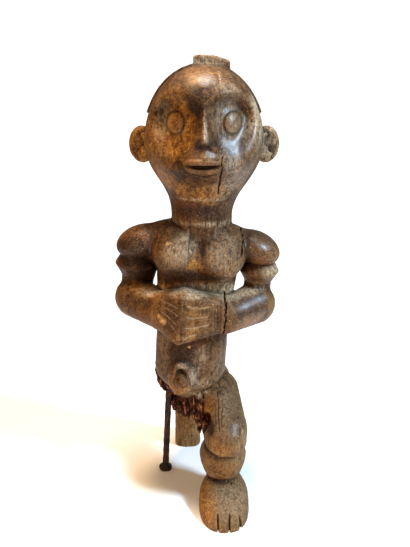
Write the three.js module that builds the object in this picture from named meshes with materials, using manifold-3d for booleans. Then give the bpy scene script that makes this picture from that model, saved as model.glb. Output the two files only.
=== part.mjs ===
// A seated guardian figure carved from one block of dark wood, of the kind that stood on a bark
// box of relics. Its hands are clasped on its belly, one leg is broken away at the hip, and an old
// iron nail driven up into the break props it where that leg stood. A post carved in one with the
// block comes down behind it. Millimetres, +Z up, standing on z = 0, facing -Y, with the figure's
// own left side on +X.
//
// The block is described as a field: a function of a point that is negative inside the wood. Each
// form has its own function, and they are joined with soft or hard seams. The field is turned into
// a mesh, thinned, and given its sharp cuts by solid subtraction.
import * as THREE from "three";
import Module from "manifold-3d";
import { mergeVertices } from "three/addons/utils/BufferGeometryUtils.js";
import { SimplifyModifier } from "three/addons/modifiers/SimplifyModifier.js";

const { clamp, degToRad, lerp, smoothstep } = THREE.MathUtils;

// Driving dimensions. Forms are given by their middle, at, and their half sizes, half; limbs by
// their ends and the radius at each. A fillet is how far a seam is rounded. The trunk and arms are
// symmetrical about an axis that leans, and their places are in the leaning frame. The head is
// upright, and the leg, post and nail are plumb.
const LEAN = degToRad(3.3); // towards the figure's left
const PELVIS = { x: -16, z: 110 }; // where the leaning axis starts
const FOOTPRINT = { x: -7.5, y: -13.7 }; // the middle of the footprint, which becomes the origin

// Head, about its own middle plane.
const HEAD_X = -0.8;
const SKULL = { at: [0, 0, 345], half: [53.5, 54, 66] };
const FOREHEAD = { at: [0, -12, 371], half: [41, 38, 36.5], fillet: 8 };
const JAW = { y: -2, z: 306, radius: 36.5, flare: 0.72, fillet: 9 };
const FACE_Y = [-12, 6]; // the face's relief fades out between these depths
const HOLLOW = { x: 23, z: 359, inner: 30, outer: 24, up: 32, down: 37, depth: 10.3, softness: [0.9, 0.42] };
const EYE = { x: 24, z: 365, half: [7.6, 9], rise: 3.2 };
const NOSE = { top: 392, tip: 353, foot: 344.5, rootHalf: 4.5, wingHalf: 13.2, rootY: -44, tipY: -62 };
const NOSE_SIDE = { baseY: -40, bow: 1.18, steepness: 0.8, inset: 10, fillet: 1.2 };
const MUZZLE = { half: [30, 19], rise: 4.5 };
const MOUTH = { z: 330.5, half: [18.8, 7], slit: [15.4, 2.3], rise: 2.6, depth: 1.5 };
const EAR = { at: [56, 4, 343.5], half: [12.5, 6.5, 16.5], sweep: 0.2 };
const EAR_DISH = { at: [58.5, -3, 343.5], half: [8.5, 3.4, 11.5], fillet: 1 };
const CAP = { rise: 2.4, frontY: 1, templeZ: 371, napeZ: 330, slantY: [14, 32], edge: 1.6 };
const CREST = { x: 6.8, halfWidth: 16.2, rise: 8.8, frontY: 2, napeZ: 334, edge: 2 };
const NECK = { x: -2.3, radius: 28.2, depthShare: 0.97, z: [258, 312], fillet: 10 };
const HEAD_LOW = 240; // nothing of the head is below this

// Trunk.
const BELLY = { x: 0.2, half: [34.8, 28], squareness: 2, low: 130 };
const CHEST = { x: 2.6, half: [40.5, 31], squareness: 2.8, high: 238 };
const TRUNK = { chestZ: [160, 270], pot: 8, potZ: [142, 196] };
const YOKE = { at: [0, 0, 251.5], half: [60, 25, 25], fillet: 8 };
const BREAST = { middle: 3, at: [20.5, -21, 247], half: [21, 15, 22], tilt: -0.4, fillet: 9 };
const CHANNEL = { from: [4.5, -38, 278], to: [4.5, -41, 230], radius: [8.5, 8.5], edge: 1.5 };
const SPINE = { from: [0, 36, 150], to: [0, 37, 262], radius: [4.5, 4.5], edge: 4 };
const NAVEL = { at: [-7.5, -36, 128], half: [13, 12.5, 17.5], fillet: 4 };
const NAVEL_DISH = { at: [-8.5, -50, 136.5], half: [7, 8, 9], edge: 1.5 };
const NAVEL_NUB = { at: [-7.5, -46, 130], half: [6, 9, 6.5], fillet: 1.5 };

// Arms, about the middle plane of the shoulders.
const ARMS_X = 1.7;
const SHOULDER = { at: [55, 0, 251.2], half: [23.5, 22.5, 15], slope: -0.38, fillet: 3 };
const ARM = { x: 59.5, y: 5, half: [13, 15.5], ringZ: 228.5, ringReach: 6.5, ringHalf: 11.5 };
const RIGHT_ARMPIT = { from: [-51, 8, 238], to: [-52.5, 6, 212], radius: [16, 11], fillet: 2 };
const FOREARM = { from: [57.7, -2, 195.2], to: [30, -28, 191], radius: [20.2, 16.8], fillet: 4 };
const HANDS = { ridgeX: [-12.5, -9], ridgeY: -59, backY: -24, z: [171, 221], topFall: 9, topSlope: 0.1 };
const HAND_EDGES = { top: [5, 16], bottom: [3, 20], end: 8 };
const HAND_ENDS = { left: { x: 40, y: -42, rise: 5 }, right: { x: -38, y: -44, rise: 10 } };
const ARMS_SEAM = 1.5;

// Hips, the one leg, the broken wood where the other was, and the post.
const PELVIC = { at: [-2, 10, 112], half: [27, 30, 26] };
const LEFT_BUTTOCK = { at: [3, 28, 94], half: [24, 28, 21] };
const RIGHT_BUTTOCK = { at: [-26, 28, 101], half: [24, 28, 21] };
const HIPS_TOP = 180; // nothing of the hips is above this
const THIGH = { from: [15, 4, 94], to: [21.5, -46, 78], radius: [19.5, 19.5], fillet: 9 };
const KNEE = { at: [19.6, -54, 73], half: [20.3, 18, 18.5], turn: 0.35, fillet: 2 };
const KNEE_HOLLOW = { at: [1, -40, 82], half: [10.5, 12, 11], edge: 2 };
const KNEE_CREVICE = { from: [-5, -54, 68], to: [13, -69, 62], radius: [6, 1], edge: 0.8 };
const CALF = { x: 17.5, y: -41, z: 49, bulge: 22.8, top: 15, taper: 24, ankle: 15.5, ankleZ: 25, low: 6 };
const FOOT = { x: 18.5, halfWidth: 24, heelY: -20, toeY: -97, heelShare: 0.82, instepZ: 29, toeZ: 8.5 };
const FOOT_FORM = { squareness: 2.4, heelEnd: 0.45, slope: [0.35, 1.05], crown: 0.3, edge: 10 };
const STUMP = { at: [-30, 8, 114], half: [20, 22, 23] };
const REMNANT = { at: [-15, 15, 80], half: [21, 21, 20] };
const SPLINTERS = { at: [-3, -6, 82], half: [12, 16, 19] };
const FRINGE = { at: [4, -25, 71.5], half: [8.5, 19, 12.5] };
const FIBRES = { scale: 4.5, stretch: 0.65, depth: 3.8 };
const POST = { x: -20, y: [55, 46], radius: [14.4, 13], top: 104, squareness: 3, fillet: 5 };
const SEAMS = { buttocks: 8, hips: 3, broken: 1.5, ankle: 2, head: 2.5, hair: 1 };
const BELOW_GROUND = -6; // the foot and post run down to here, and are cut level at the ground

const NAIL = { x: -42.6, y: 1, shank: 3.3, head: 6.9, headHigh: 4, length: 138, point: 14, tilt: 0.056 };
const NAIL_EDGE = { chamfer: 0.8, headShare: 0.8, throat: 1.2, tip: 0.6 };
const NAIL_CLEARANCE = 0.3;

// Sharp cuts, each a wedge that follows a line across the front, given as places [x, z].
const MOUTH_LINE = { places: [[-16, 330], [-8, 330.8], [6, 330.8], [14, 330]], depth: 4.5, width: 3.6 };
const FINGER_CUT = { depth: 2.2, width: 2 };
const FINGER_LINES = [
  [[-15, 210], [-4, 206], [4.5, 206.2]],
  [[-16, 199.2], [-10, 197], [3, 196.8]],
  [[-17, 188.4], [-9, 187.5], [3.4, 188.8]],
  [[-19, 177.5], [-8, 180.6]],
];
const CRACKS = [
  { places: [[13.5, 327], [12.5, 318], [11.5, 306]], depth: 3, width: 1.2 },
  { places: [[28.5, 273], [34.5, 266], [35.2, 258], [33.8, 248]], depth: 5, width: 1.8 },
  { places: [[17.4, 211], [18.8, 205], [18.2, 191], [16.5, 178]], depth: 4, width: 2.2 },
];
// The slits between the toes run down and forward: places [x, y, z].
const TOE_SLITS = [
  { places: [[11.4, -82, 13], [12.6, -100, 2]], depth: 4, width: 2.2 },
  { places: [[23, -81, 13], [22.4, -101, 2]], depth: 4.5, width: 2.4 },
  { places: [[31.6, -82, 13], [33.5, -99, 2]], depth: 4, width: 2.2 },
  { places: [[37.4, -82, 10], [39.4, -92, 3]], depth: 3.5, width: 2.2 },
];
const TOE_INWARD = [0, 0.35, -1];

// Meshing: the box and the step of the grid, and the triangles left in the block.
const GRID_BOX = { low: [-95, -105, -8], high: [88, 80, 428] };
const GRID_STEP = 2.2;
const BLOCK_TRIANGLES = 8550;

// The nearer of two forms, with a fillet of about k between them.
function join(a, b, k) {
  const h = Math.max(k - Math.abs(a - b), 0) / k;
  return Math.min(a, b) - (h * h * k) / 4;
}

// Form a with form b taken away, with an edge softened by k.
const carve = (a, b, k) => -join(-a, b, k);

// The length of a vector when corners are squared: power 2 gives a circle, 3 a rounded square.
function squaredLength(power, ...parts) {
  return parts.reduce((sum, part) => sum + Math.abs(part) ** power, 0) ** (1 / power);
}

function ellipsoid(x, y, z, { at, half }) {
  const [u, v, w] = [(x - at[0]) / half[0], (y - at[1]) / half[1], (z - at[2]) / half[2]];
  const reach = Math.hypot(u, v, w);
  const steepness = Math.hypot(u / half[0], v / half[1], w / half[2]);
  return reach < 1e-6 ? -Math.min(...half) : (reach * (reach - 1)) / steepness;
}

// A straight run whose radius goes evenly from one end to the other.
function limb(x, y, z, { from, to, radius }) {
  const [dx, dy, dz] = [to[0] - from[0], to[1] - from[1], to[2] - from[2]];
  const [px, py, pz] = [x - from[0], y - from[1], z - from[2]];
  const share = clamp((px * dx + py * dy + pz * dz) / (dx * dx + dy * dy + dz * dz), 0, 1);
  return Math.hypot(px - share * dx, py - share * dy, pz - share * dz) - lerp(...radius, share);
}

function turn(u, v, angle) {
  const c = Math.cos(angle);
  const s = Math.sin(angle);
  return [u * c + v * s, v * c - u * s];
}

// An ellipsoid turned about x, in its own side view.
function tippedEllipsoid(x, y, z, { at, half, tilt }) {
  const [v, w] = turn(y - at[1], z - at[2], tilt);
  return ellipsoid(x - at[0], v, w, { at: [0, 0, 0], half });
}

// Head. Skull and jaw make the outline. The face is relief on their front: a heart-shaped hollow,
// disc eyes, a wedge nose and a slit mouth.
function skull(x, y, z) {
  const dome = join(ellipsoid(x, y, z, SKULL), ellipsoid(x, y, z, FOREHEAD), FOREHEAD.fillet);
  const outsideJaw = Math.hypot(x, y - JAW.y) - JAW.radius - (z - JAW.z) * JAW.flare;
  return carve(dome, -outsideJaw / Math.hypot(1, JAW.flare), JAW.fillet);
}

function hollow(x, z) {
  const side = Math.abs(x) - HOLLOW.x;
  const level = z - HOLLOW.z;
  const sideShare = side / (side < 0 ? HOLLOW.inner : HOLLOW.outer);
  const levelShare = level / (level > 0 ? HOLLOW.up : HOLLOW.down);
  const softness = lerp(...HOLLOW.softness, smoothstep(levelShare, -0.5, 0.6));
  return HOLLOW.depth * smoothstep(1 - Math.hypot(sideShare, levelShare), 0, softness);
}

// How much of a disc's height is left at x, z: all of it inside, and none outside its rim.
function disc(x, z, half, rim) {
  return 1 - smoothstep(Math.hypot(x / half[0], z / half[1]), ...rim);
}

function eye(x, z) {
  const reach = Math.hypot((Math.abs(x) - EYE.x) / EYE.half[0], (z - EYE.z) / EYE.half[1]);
  return EYE.rise * Math.sqrt(1 - Math.min(reach, 1) ** 2);
}

function mouth(x, z) {
  const level = z - MOUTH.z;
  const muzzle = MUZZLE.rise * disc(x, level, MUZZLE.half, [0.3, 1]);
  const lips = MOUTH.rise * disc(x, level, MOUTH.half, [0.75, 1.1]);
  return muzzle + lips - MOUTH.depth * disc(x, level, MOUTH.slit, [0.6, 1.1]);
}

function nose(x, y, z) {
  const down = clamp((NOSE.top - z) / (NOSE.top - NOSE.tip), 0, 1.2);
  const halfWidth = lerp(NOSE.rootHalf, NOSE.wingHalf, down);
  const height = NOSE_SIDE.baseY - lerp(NOSE.rootY, NOSE.tipY, down);
  const section = (Math.abs(x) / halfWidth) ** NOSE_SIDE.bow + (NOSE_SIDE.baseY - y) / height - 1;
  const flank = section * (halfWidth / Math.hypot(1, halfWidth / height)) * NOSE_SIDE.steepness;
  const rise = NOSE.tip - NOSE.foot;
  const under = (-(rise + 2) * (z - NOSE.tip) - rise * (y - NOSE.tipY)) / Math.hypot(rise + 2, rise);
  return Math.max(flank, under, z - NOSE.top - 2, y - NOSE_SIDE.baseY - NOSE_SIDE.inset);
}

function ear(x, y, z) {
  const side = Math.abs(x);
  const swept = y - EAR.sweep * (side - EAR.at[0]);
  return carve(ellipsoid(side, swept, z, EAR), ellipsoid(side, swept, z, EAR_DISH), EAR_DISH.fillet);
}

function head(x, y, z) {
  let d = skull(x, y, z);
  const frontal = 1 - smoothstep(y, ...FACE_Y);
  if (frontal > 0) {
    d = join(d + hollow(x, z) * frontal, nose(x, y, z), NOSE_SIDE.fillet);
    d -= (eye(x, z) + mouth(x, z)) * frontal;
  }
  const column = Math.hypot(x - NECK.x, y / NECK.depthShare) - NECK.radius;
  return join(d, Math.max(column, NECK.z[0] - z, z - NECK.z[1]), NECK.fillet);
}

// Hair: a thin cap with a stepped edge, and a flat crest from the top of the brow to the nape.
function hair(x, y, z) {
  const above = skull(x, y, z);
  const lower = lerp(CAP.templeZ, CAP.napeZ, smoothstep(y, ...CAP.slantY));
  const cap = carve(above - CAP.rise, Math.min(y - CAP.frontY, z - lower), CAP.edge);
  const outsideCrest = Math.max(Math.abs(x - CREST.x) - CREST.halfWidth, CREST.napeZ - z, CREST.frontY - y);
  return join(cap, carve(above - CREST.rise, -outsideCrest, CREST.edge), SEAMS.hair);
}

// Trunk: a column that goes from a round pot belly to a squarer chest, and a yoke across the
// shoulders.
function trunk(x, y, z) {
  const up = smoothstep(z, ...TRUNK.chestZ);
  const [halfWidth, halfDepth] = [0, 1].map((axis) => lerp(BELLY.half[axis], CHEST.half[axis], up));
  const forward = TRUNK.pot * (1 - smoothstep(z, ...TRUNK.potZ));
  const across = (x - lerp(BELLY.x, CHEST.x, up)) / halfWidth;
  const deep = (y + forward) / halfDepth;
  const beyond = Math.max(BELLY.low - z, z - CHEST.high, 0) / halfDepth;
  const reach = squaredLength(lerp(BELLY.squareness, CHEST.squareness, up), across, deep, beyond);
  return join((reach - 1) * halfDepth, ellipsoid(x, y, z, YOKE), YOKE.fillet);
}

// The trunk with two breasts, the channel between them, and the spine's groove.
function bust(x, y, z) {
  const breast = tippedEllipsoid(Math.abs(x - BREAST.middle), y, z, BREAST);
  const front = carve(join(trunk(x, y, z), breast, BREAST.fillet), limb(x, y, z, CHANNEL), CHANNEL.edge);
  return carve(front, limb(x, y, z, SPINE), SPINE.edge);
}

// The navel is a swelling with a dish in it, and a nub that stands out of the dish.
function navel(x, y, z) {
  const ring = carve(ellipsoid(x, y, z, NAVEL), ellipsoid(x, y, z, NAVEL_DISH), NAVEL_DISH.edge);
  return join(ring, ellipsoid(x, y, z, NAVEL_NUB), NAVEL_NUB.fillet);
}

// Arms: shoulder lobe, upper arm with a sharp-edged ring, elbow, forearm, and the clasped hands,
// which make one blunt prow in front of the belly.
function shoulder(x, y, z) {
  const [cx, cy, cz] = SHOULDER.at;
  const [along, up] = turn(Math.abs(x) - cx, z - cz, SHOULDER.slope);
  return ellipsoid(along, y - cy, up, { at: [0, 0, 0], half: SHOULDER.half });
}

function upperArm(x, y, z) {
  const reach = Math.hypot((Math.abs(x) - ARM.x) / ARM.half[0], (y - ARM.y) / ARM.half[1]);
  const ring = Math.max(0, 1 - Math.abs(z - ARM.ringZ) / ARM.ringHalf) * ARM.ringReach;
  return Math.max(((reach - 1) * ARM.half[0] - ring) * 0.85, z - SHOULDER.at[2], FOREARM.from[2] - z);
}

function hands(x, y, z) {
  const high = clamp((z - HANDS.z[0]) / (HANDS.z[1] - HANDS.z[0]), 0, 1);
  const side = x - lerp(...HANDS.ridgeX, high);
  const end = side > 0 ? HAND_ENDS.left : HAND_ENDS.right;
  const run = Math.abs(end.x - HANDS.ridgeX[1]);
  const fall = end.y - HANDS.ridgeY;
  const share = clamp(Math.abs(side) / run, 0, 1.2);
  const front = ((HANDS.ridgeY - y) * run + Math.abs(side) * fall) / Math.hypot(run, fall);
  const top = z - HANDS.z[1] + HANDS.topFall * share + (y - HANDS.ridgeY) * HANDS.topSlope;
  const bottom = HANDS.z[0] + end.rise * share - z;
  const lowerEdged = carve(front, -bottom, lerp(...HAND_EDGES.bottom, share));
  const prow = carve(lowerEdged, -top, lerp(...HAND_EDGES.top, share));
  return Math.max(carve(prow, run - Math.abs(side), HAND_EDGES.end), y - HANDS.backY);
}

// Bust, arms and clasped hands, in the leaning frame.
function torso(x, y, z) {
  const side = x - ARMS_X;
  const upper = join(bust(x, y, z), shoulder(side, y, z), SHOULDER.fillet);
  const armpit = limb(side, y, z, RIGHT_ARMPIT);
  const lower = join(limb(Math.abs(side), y, z, FOREARM), hands(x, y, z), FOREARM.fillet);
  const arms = join(join(upperArm(side, y, z), armpit, RIGHT_ARMPIT.fillet), lower, RIGHT_ARMPIT.fillet);
  return join(upper, arms, ARMS_SEAM);
}

// Left leg: thigh with a broken hollow inside the knee, kneecap lobe, calf ring and foot.
function upperLeg(x, y, z) {
  const thigh = carve(limb(x, y, z, THIGH), ellipsoid(x, y, z, KNEE_HOLLOW), KNEE_HOLLOW.edge);
  return join(thigh, tippedEllipsoid(x, y, z, { ...KNEE, tilt: KNEE.turn }), KNEE.fillet);
}

function calf(x, y, z) {
  const above = smoothstep(z, CALF.z, CALF.z + CALF.taper);
  const below = clamp((CALF.z - z) / (CALF.z - CALF.ankleZ), 0, 1) ** 1.6;
  const radius = z > CALF.z ? lerp(CALF.bulge, CALF.top, above) : lerp(CALF.bulge, CALF.ankle, below);
  const side = Math.hypot(x - CALF.x, (y - CALF.y) * 1.04) - radius;
  return Math.max(side * 0.85, z - CALF.z - CALF.taper, CALF.low - z);
}

function foot(x, y, z) {
  const length = FOOT.heelY - FOOT.toeY;
  const forward = (FOOT.heelY - y) / length;
  const halfWidth = FOOT.halfWidth * lerp(FOOT.heelShare, 1, smoothstep(forward, 0, FOOT_FORM.heelEnd));
  const across = (x - FOOT.x) / halfWidth;
  const plan = (squaredLength(FOOT_FORM.squareness, across, 2 * forward - 1) - 1) * halfWidth;
  const crown = 1 - FOOT_FORM.crown * Math.min(Math.abs(across) ** FOOT_FORM.squareness, 1);
  const top = z - lerp(FOOT.instepZ, FOOT.toeZ, smoothstep(forward, ...FOOT_FORM.slope)) * crown;
  return Math.max(carve(plan, -top * 0.9, FOOT_FORM.edge), BELOW_GROUND - z);
}

// Post behind.
function post(x, y, z) {
  const up = z / POST.top;
  const reach = squaredLength(POST.squareness, x - POST.x, y - lerp(...POST.y, up));
  return Math.max(reach - lerp(...POST.radius, clamp(up, 0, 1)), z - POST.top, BELOW_GROUND - z);
}

// A slow, even roughness for broken wood, about 1 high at most.
function rough(x, y, z) {
  const swirl = Math.sin(2.1 * x + 1.7 * Math.sin(1.3 * y + 0.5)) * Math.cos(1.1 * z + x);
  const weave = Math.sin(2.7 * y + 1.3 * Math.sin(1.9 * z + 1.1)) * Math.cos(1.7 * x - y);
  const bands = Math.sin(1.3 * z + 2.1 * Math.sin(2.3 * x + 2));
  return (swirl + 0.8 * weave + 0.6 * bands) / 2.4;
}

// The broken and eaten wood under the belly, where the right thigh was. It broke along the grain.
function lostHip(x, y, z) {
  const [u, v, w] = [x, y, z * FIBRES.stretch].map((place) => place / FIBRES.scale);
  const forms = [STUMP, REMNANT, SPLINTERS, FRINGE].map((form) => ellipsoid(x, y, z, form));
  return Math.min(...forms) + rough(u, v, w) * FIBRES.depth;
}

function leaning(x, z) {
  const [u, v] = turn(x - PELVIS.x, z - PELVIS.z, -LEAN);
  return [u, v + PELVIS.z];
}

// Pelvis, buttocks, leg, post and the broken hip. The pelvis leans with the trunk.
function hips(x, y, z) {
  const [u, w] = leaning(x, z);
  const buttocks = Math.min(ellipsoid(x, y, z, LEFT_BUTTOCK), ellipsoid(x, y, z, RIGHT_BUTTOCK));
  const seat = join(ellipsoid(u, y, w, PELVIC), buttocks, SEAMS.buttocks);
  return join(join(seat, upperLeg(x, y, z), THIGH.fillet), post(x, y, z), POST.fillet);
}

// The whole block.
function block(x, y, z) {
  const [u, w] = leaning(x, z);
  let d = torso(u, y, w);
  if (z > HEAD_LOW) {
    const side = x - HEAD_X;
    d = join(d, Math.min(head(side, y, z), ear(side, y, z)), SEAMS.head);
    d = join(d, hair(side, y, z), SEAMS.hair);
  }
  if (w < HIPS_TOP) {
    d = join(d, navel(u, y, w), NAVEL.fillet);
    d = join(join(d, hips(x, y, z), SEAMS.hips), lostHip(x, y, z), SEAMS.broken);
    d = join(d, join(calf(x, y, z), foot(x, y, z), SEAMS.ankle), SEAMS.broken);
    d = carve(d, limb(x, y, z, KNEE_CREVICE), KNEE_CREVICE.edge);
  }
  return d;
}

// The six tetrahedra that fill a grid cell; a corner's bits say how far it is along x, y and z.
const TETRAHEDRA = [[0, 1, 3, 7], [0, 3, 2, 7], [0, 2, 6, 7], [0, 6, 4, 7], [0, 4, 5, 7], [0, 5, 1, 7]];

// How a surface crosses a tetrahedron, by how many corners are inside when they are listed first.
const CROSSINGS = {
  0: [],
  1: [[[0, 1], [0, 2], [0, 3]]],
  2: [[[0, 2], [0, 3], [1, 3]], [[0, 2], [1, 3], [1, 2]]],
  3: [[[0, 3], [1, 3], [2, 3]]],
  4: [],
};

// The corners with the inside ones first, keeping the tetrahedron's handedness.
function insideFirst(tetrahedron, isInside) {
  const order = [...tetrahedron.filter(isInside), ...tetrahedron.filter((corner) => !isInside(corner))];
  const place = order.map((corner) => tetrahedron.indexOf(corner));
  const swaps = place.flatMap((a, i) => place.slice(i + 1).filter((b) => b < a)).length;
  const pair = tetrahedron.filter(isInside).length < 3 ? [2, 3] : [0, 1];
  if (swaps % 2) [order[pair[0]], order[pair[1]]] = [order[pair[1]], order[pair[0]]];
  return order;
}

// Turns a field into a closed mesh, with one vertex where the surface crosses each edge of the
// tetrahedra.
function polygonize(field, low, high, step) {
  const [nx, ny, nz] = low.map((v, axis) => Math.ceil((high[axis] - v) / step) + 1);
  const offset = [0, 1, 2, 3, 4, 5, 6, 7].map((c) => (c & 1) + nx * (((c >> 1) & 1) + ny * (c >> 2)));
  const value = new Float32Array(nx * ny * nz);
  const placeOf = (at) => [at % nx, Math.floor(at / nx) % ny, Math.floor(at / (nx * ny))];
  const pointOf = (at) => placeOf(at).map((count, axis) => low[axis] + count * step);
  for (let at = 0; at < value.length; at++) value[at] = field(...pointOf(at)) || 1e-6;

  const positions = [];
  const known = new Map();
  function vertexBetween(from, to) {
    const key = Math.min(from, to) * 8 + offset.indexOf(Math.abs(to - from));
    if (!known.has(key)) {
      const [a, b] = [pointOf(from), pointOf(to)];
      const share = value[from] / (value[from] - value[to]);
      known.set(key, positions.length / 3);
      positions.push(...settle(field, a.map((v, axis) => lerp(v, b[axis], share)), step / 3));
    }
    return known.get(key);
  }

  const index = [];
  function fillCell(cell) {
    const isInside = (corner) => value[cell + offset[corner]] < 0;
    for (const tetrahedron of TETRAHEDRA) {
      const order = insideFirst(tetrahedron, isInside);
      const edges = CROSSINGS[order.filter(isInside).length].flat();
      index.push(...edges.map(([a, b]) => vertexBetween(cell + offset[order[a]], cell + offset[order[b]])));
    }
  }
  for (let cell = 0; cell < value.length; cell++) {
    const [i, j, k] = placeOf(cell);
    if (i === nx - 1 || j === ny - 1 || k === nz - 1) continue;
    const inside = offset.filter((o) => value[cell + o] < 0).length;
    if (inside > 0 && inside < 8) fillCell(cell);
  }
  const geometry = new THREE.BufferGeometry();
  geometry.setAttribute("position", new THREE.Float32BufferAttribute(positions, 3));
  geometry.setIndex(index);
  return geometry;
}

// Moves a point down the field's slope onto the surface, no further than reach.
function settle(field, start, reach) {
  const nudge = 0.25;
  const passes = 3;
  let point = [...start];
  for (let pass = 0; pass < passes; pass++) {
    const d = field(...point);
    const slope = [0, 1, 2].map((axis) => {
      const ahead = [...point];
      ahead[axis] += nudge;
      return (field(...ahead) - d) / nudge;
    });
    const steepness = slope[0] ** 2 + slope[1] ** 2 + slope[2] ** 2;
    if (steepness < 1e-6) break;
    const moved = point.map((v, axis) => v - (d * slope[axis]) / steepness);
    point = moved.map((v, axis) => clamp(v, start[axis] - reach, start[axis] + reach));
  }
  return point;
}

// Solids for the sharp cuts.
const wasm = await Module();
wasm.setup();

function solidOf(geometry) {
  const bare = geometry.clone();
  bare.deleteAttribute("normal");
  bare.deleteAttribute("uv");
  const merged = mergeVertices(bare, 1e-4);
  const mesh = new wasm.Mesh({
    numProp: 3,
    vertProperties: new Float32Array(merged.attributes.position.array),
    triVerts: new Uint32Array(merged.index.array),
  });
  return new wasm.Manifold(mesh);
}

function geometryOf(solid) {
  const mesh = solid.getMesh();
  const geometry = new THREE.BufferGeometry();
  geometry.setAttribute("position", new THREE.BufferAttribute(mesh.vertProperties, 3));
  geometry.setIndex(new THREE.BufferAttribute(mesh.triVerts, 1));
  geometry.computeVertexNormals();
  return geometry;
}

// The place on the front of the block at x, z.
function onFront(x, z) {
  let y = GRID_BOX.low[1];
  for (let step = 1; step > 0.05 && y < GRID_BOX.high[1]; y += step) step = block(x, y, z) * 0.7;
  return [x, y, z];
}

// A wedge-shaped slit from one place to the next, starting a little outside the surface.
function slitSolid(from, to, inward, { depth, width }) {
  const start = new THREE.Vector3(...from);
  const run = new THREE.Vector3(...to).sub(start);
  const along = run.clone().normalize();
  const down = new THREE.Vector3(...inward);
  down.addScaledVector(along, -down.dot(along)).normalize();
  const across = new THREE.Vector3().crossVectors(down, along);
  const outside = start.addScaledVector(down, -depth);
  const corner = (share, side, deep) =>
    outside.clone().addScaledVector(run, share).addScaledVector(across, side).addScaledVector(down, deep);
  const points = [0, 1].flatMap((share) =>
    [corner(share, -width, 0), corner(share, width, 0), corner(share, 0, 2 * depth)]);
  const geometry = new THREE.BufferGeometry().setFromPoints(points);
  geometry.setIndex([0, 2, 1, 3, 4, 5, 0, 1, 4, 0, 4, 3, 1, 2, 5, 1, 5, 4, 2, 0, 3, 2, 3, 5]);
  return solidOf(geometry);
}

function slitsAlong(places, inward, cut) {
  return places.slice(1).map((place, i) => slitSolid(places[i], place, inward, cut));
}

function allSlits() {
  const fingers = FINGER_LINES.map((places) => ({ places, ...FINGER_CUT }));
  const frontal = [MOUTH_LINE, ...fingers, ...CRACKS].flatMap((cut) =>
    slitsAlong(cut.places.map(([x, z]) => onFront(x, z)), [0, 1, 0], cut));
  return [...frontal, ...TOE_SLITS.flatMap((cut) => slitsAlong(cut.places, TOE_INWARD, cut))];
}

// The nail, point up, its round head on the ground. Spread widens it to cut its hole.
function nailGeometry(spread) {
  const { chamfer, headShare, throat, tip } = NAIL_EDGE;
  const profile = [
    [NAIL.head * headShare, 0],
    [NAIL.head, chamfer],
    [NAIL.head, NAIL.headHigh - chamfer],
    [NAIL.head * headShare, NAIL.headHigh],
    [NAIL.shank, NAIL.headHigh + throat],
    [NAIL.shank, NAIL.length - NAIL.point],
    [tip, NAIL.length + spread],
  ];
  const outline = profile.map(([radius, height]) => new THREE.Vector2(radius + spread, height));
  const points = [new THREE.Vector2(0, 0), ...outline, new THREE.Vector2(0, NAIL.length + spread)];
  const geometry = new THREE.LatheGeometry(points, 20);
  geometry.rotateX(Math.PI / 2).rotateY(NAIL.tilt).translate(NAIL.x, NAIL.y, 0);
  return geometry;
}

const ground = solidOf(new THREE.BoxGeometry(400, 400, 40).translate(0, 0, -20));

async function carvedBlock() {
  const fine = polygonize(block, GRID_BOX.low, GRID_BOX.high, GRID_STEP);
  const corners = fine.attributes.position.count;
  const kept = BLOCK_TRIANGLES / (fine.index.count / 3);
  const thinned = await new SimplifyModifier().modify(fine, Math.round(corners * (1 - kept)));
  const hole = solidOf(nailGeometry(NAIL_CLEARANCE));
  return [ground, hole, ...allSlits()].reduce((solid, cut) => solid.subtract(cut), solidOf(thinned));
}

const wood = new THREE.MeshStandardMaterial({ color: 0x4a3020, roughness: 0.45, metalness: 0 });
const iron = new THREE.MeshStandardMaterial({ color: 0x3a2018, roughness: 0.85, metalness: 0.6 });

const figure = new THREE.Group();

function addPart(name, solid, material) {
  const mesh = new THREE.Mesh(geometryOf(solid).translate(-FOOTPRINT.x, -FOOTPRINT.y, 0), material);
  mesh.name = name;
  figure.add(mesh);
}

addPart("carved_figure", await carvedBlock(), wood);
addPart("iron_nail", solidOf(nailGeometry(0)).subtract(ground), iron);

export default figure;
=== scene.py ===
"""Dresses the seated guardian figure: its carving in full, with wear, dust, cracks and broken wood, with
shade and highlights painted into its colour, and the hand-made nail that props it. Sizes are millimetres in
the carver's frame, where the block was described; MM and FOOTPRINT bring them to the shared frame in metres."""
import functools
import math
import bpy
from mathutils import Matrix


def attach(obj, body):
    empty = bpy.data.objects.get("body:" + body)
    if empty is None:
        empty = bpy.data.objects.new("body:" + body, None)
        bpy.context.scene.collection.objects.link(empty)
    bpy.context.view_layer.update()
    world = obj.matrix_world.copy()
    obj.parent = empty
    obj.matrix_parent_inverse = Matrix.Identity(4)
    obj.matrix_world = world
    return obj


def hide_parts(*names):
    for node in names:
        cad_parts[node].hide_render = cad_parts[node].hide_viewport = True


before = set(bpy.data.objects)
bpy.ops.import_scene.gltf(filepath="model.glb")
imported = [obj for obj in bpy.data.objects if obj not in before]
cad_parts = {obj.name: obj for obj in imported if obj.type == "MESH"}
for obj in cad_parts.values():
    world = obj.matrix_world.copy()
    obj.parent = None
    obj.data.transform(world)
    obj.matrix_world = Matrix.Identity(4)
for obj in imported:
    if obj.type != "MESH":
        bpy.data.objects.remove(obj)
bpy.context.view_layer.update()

from types import SimpleNamespace as Form

import bpy
import numpy as np
from mathutils import Vector

MM = 0.001
FOOTPRINT = (-7.5, -13.7)  # the middle of the footprint, which is the shared frame's origin

# Driving dimensions, the same as the solids'. A form has its middle, at, and its half sizes, half; a limb
# its ends and the radius at each. A fillet is how far a seam is rounded.
LEAN = math.radians(3.3)
PELVIS = Form(x=-16, z=110)

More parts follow.
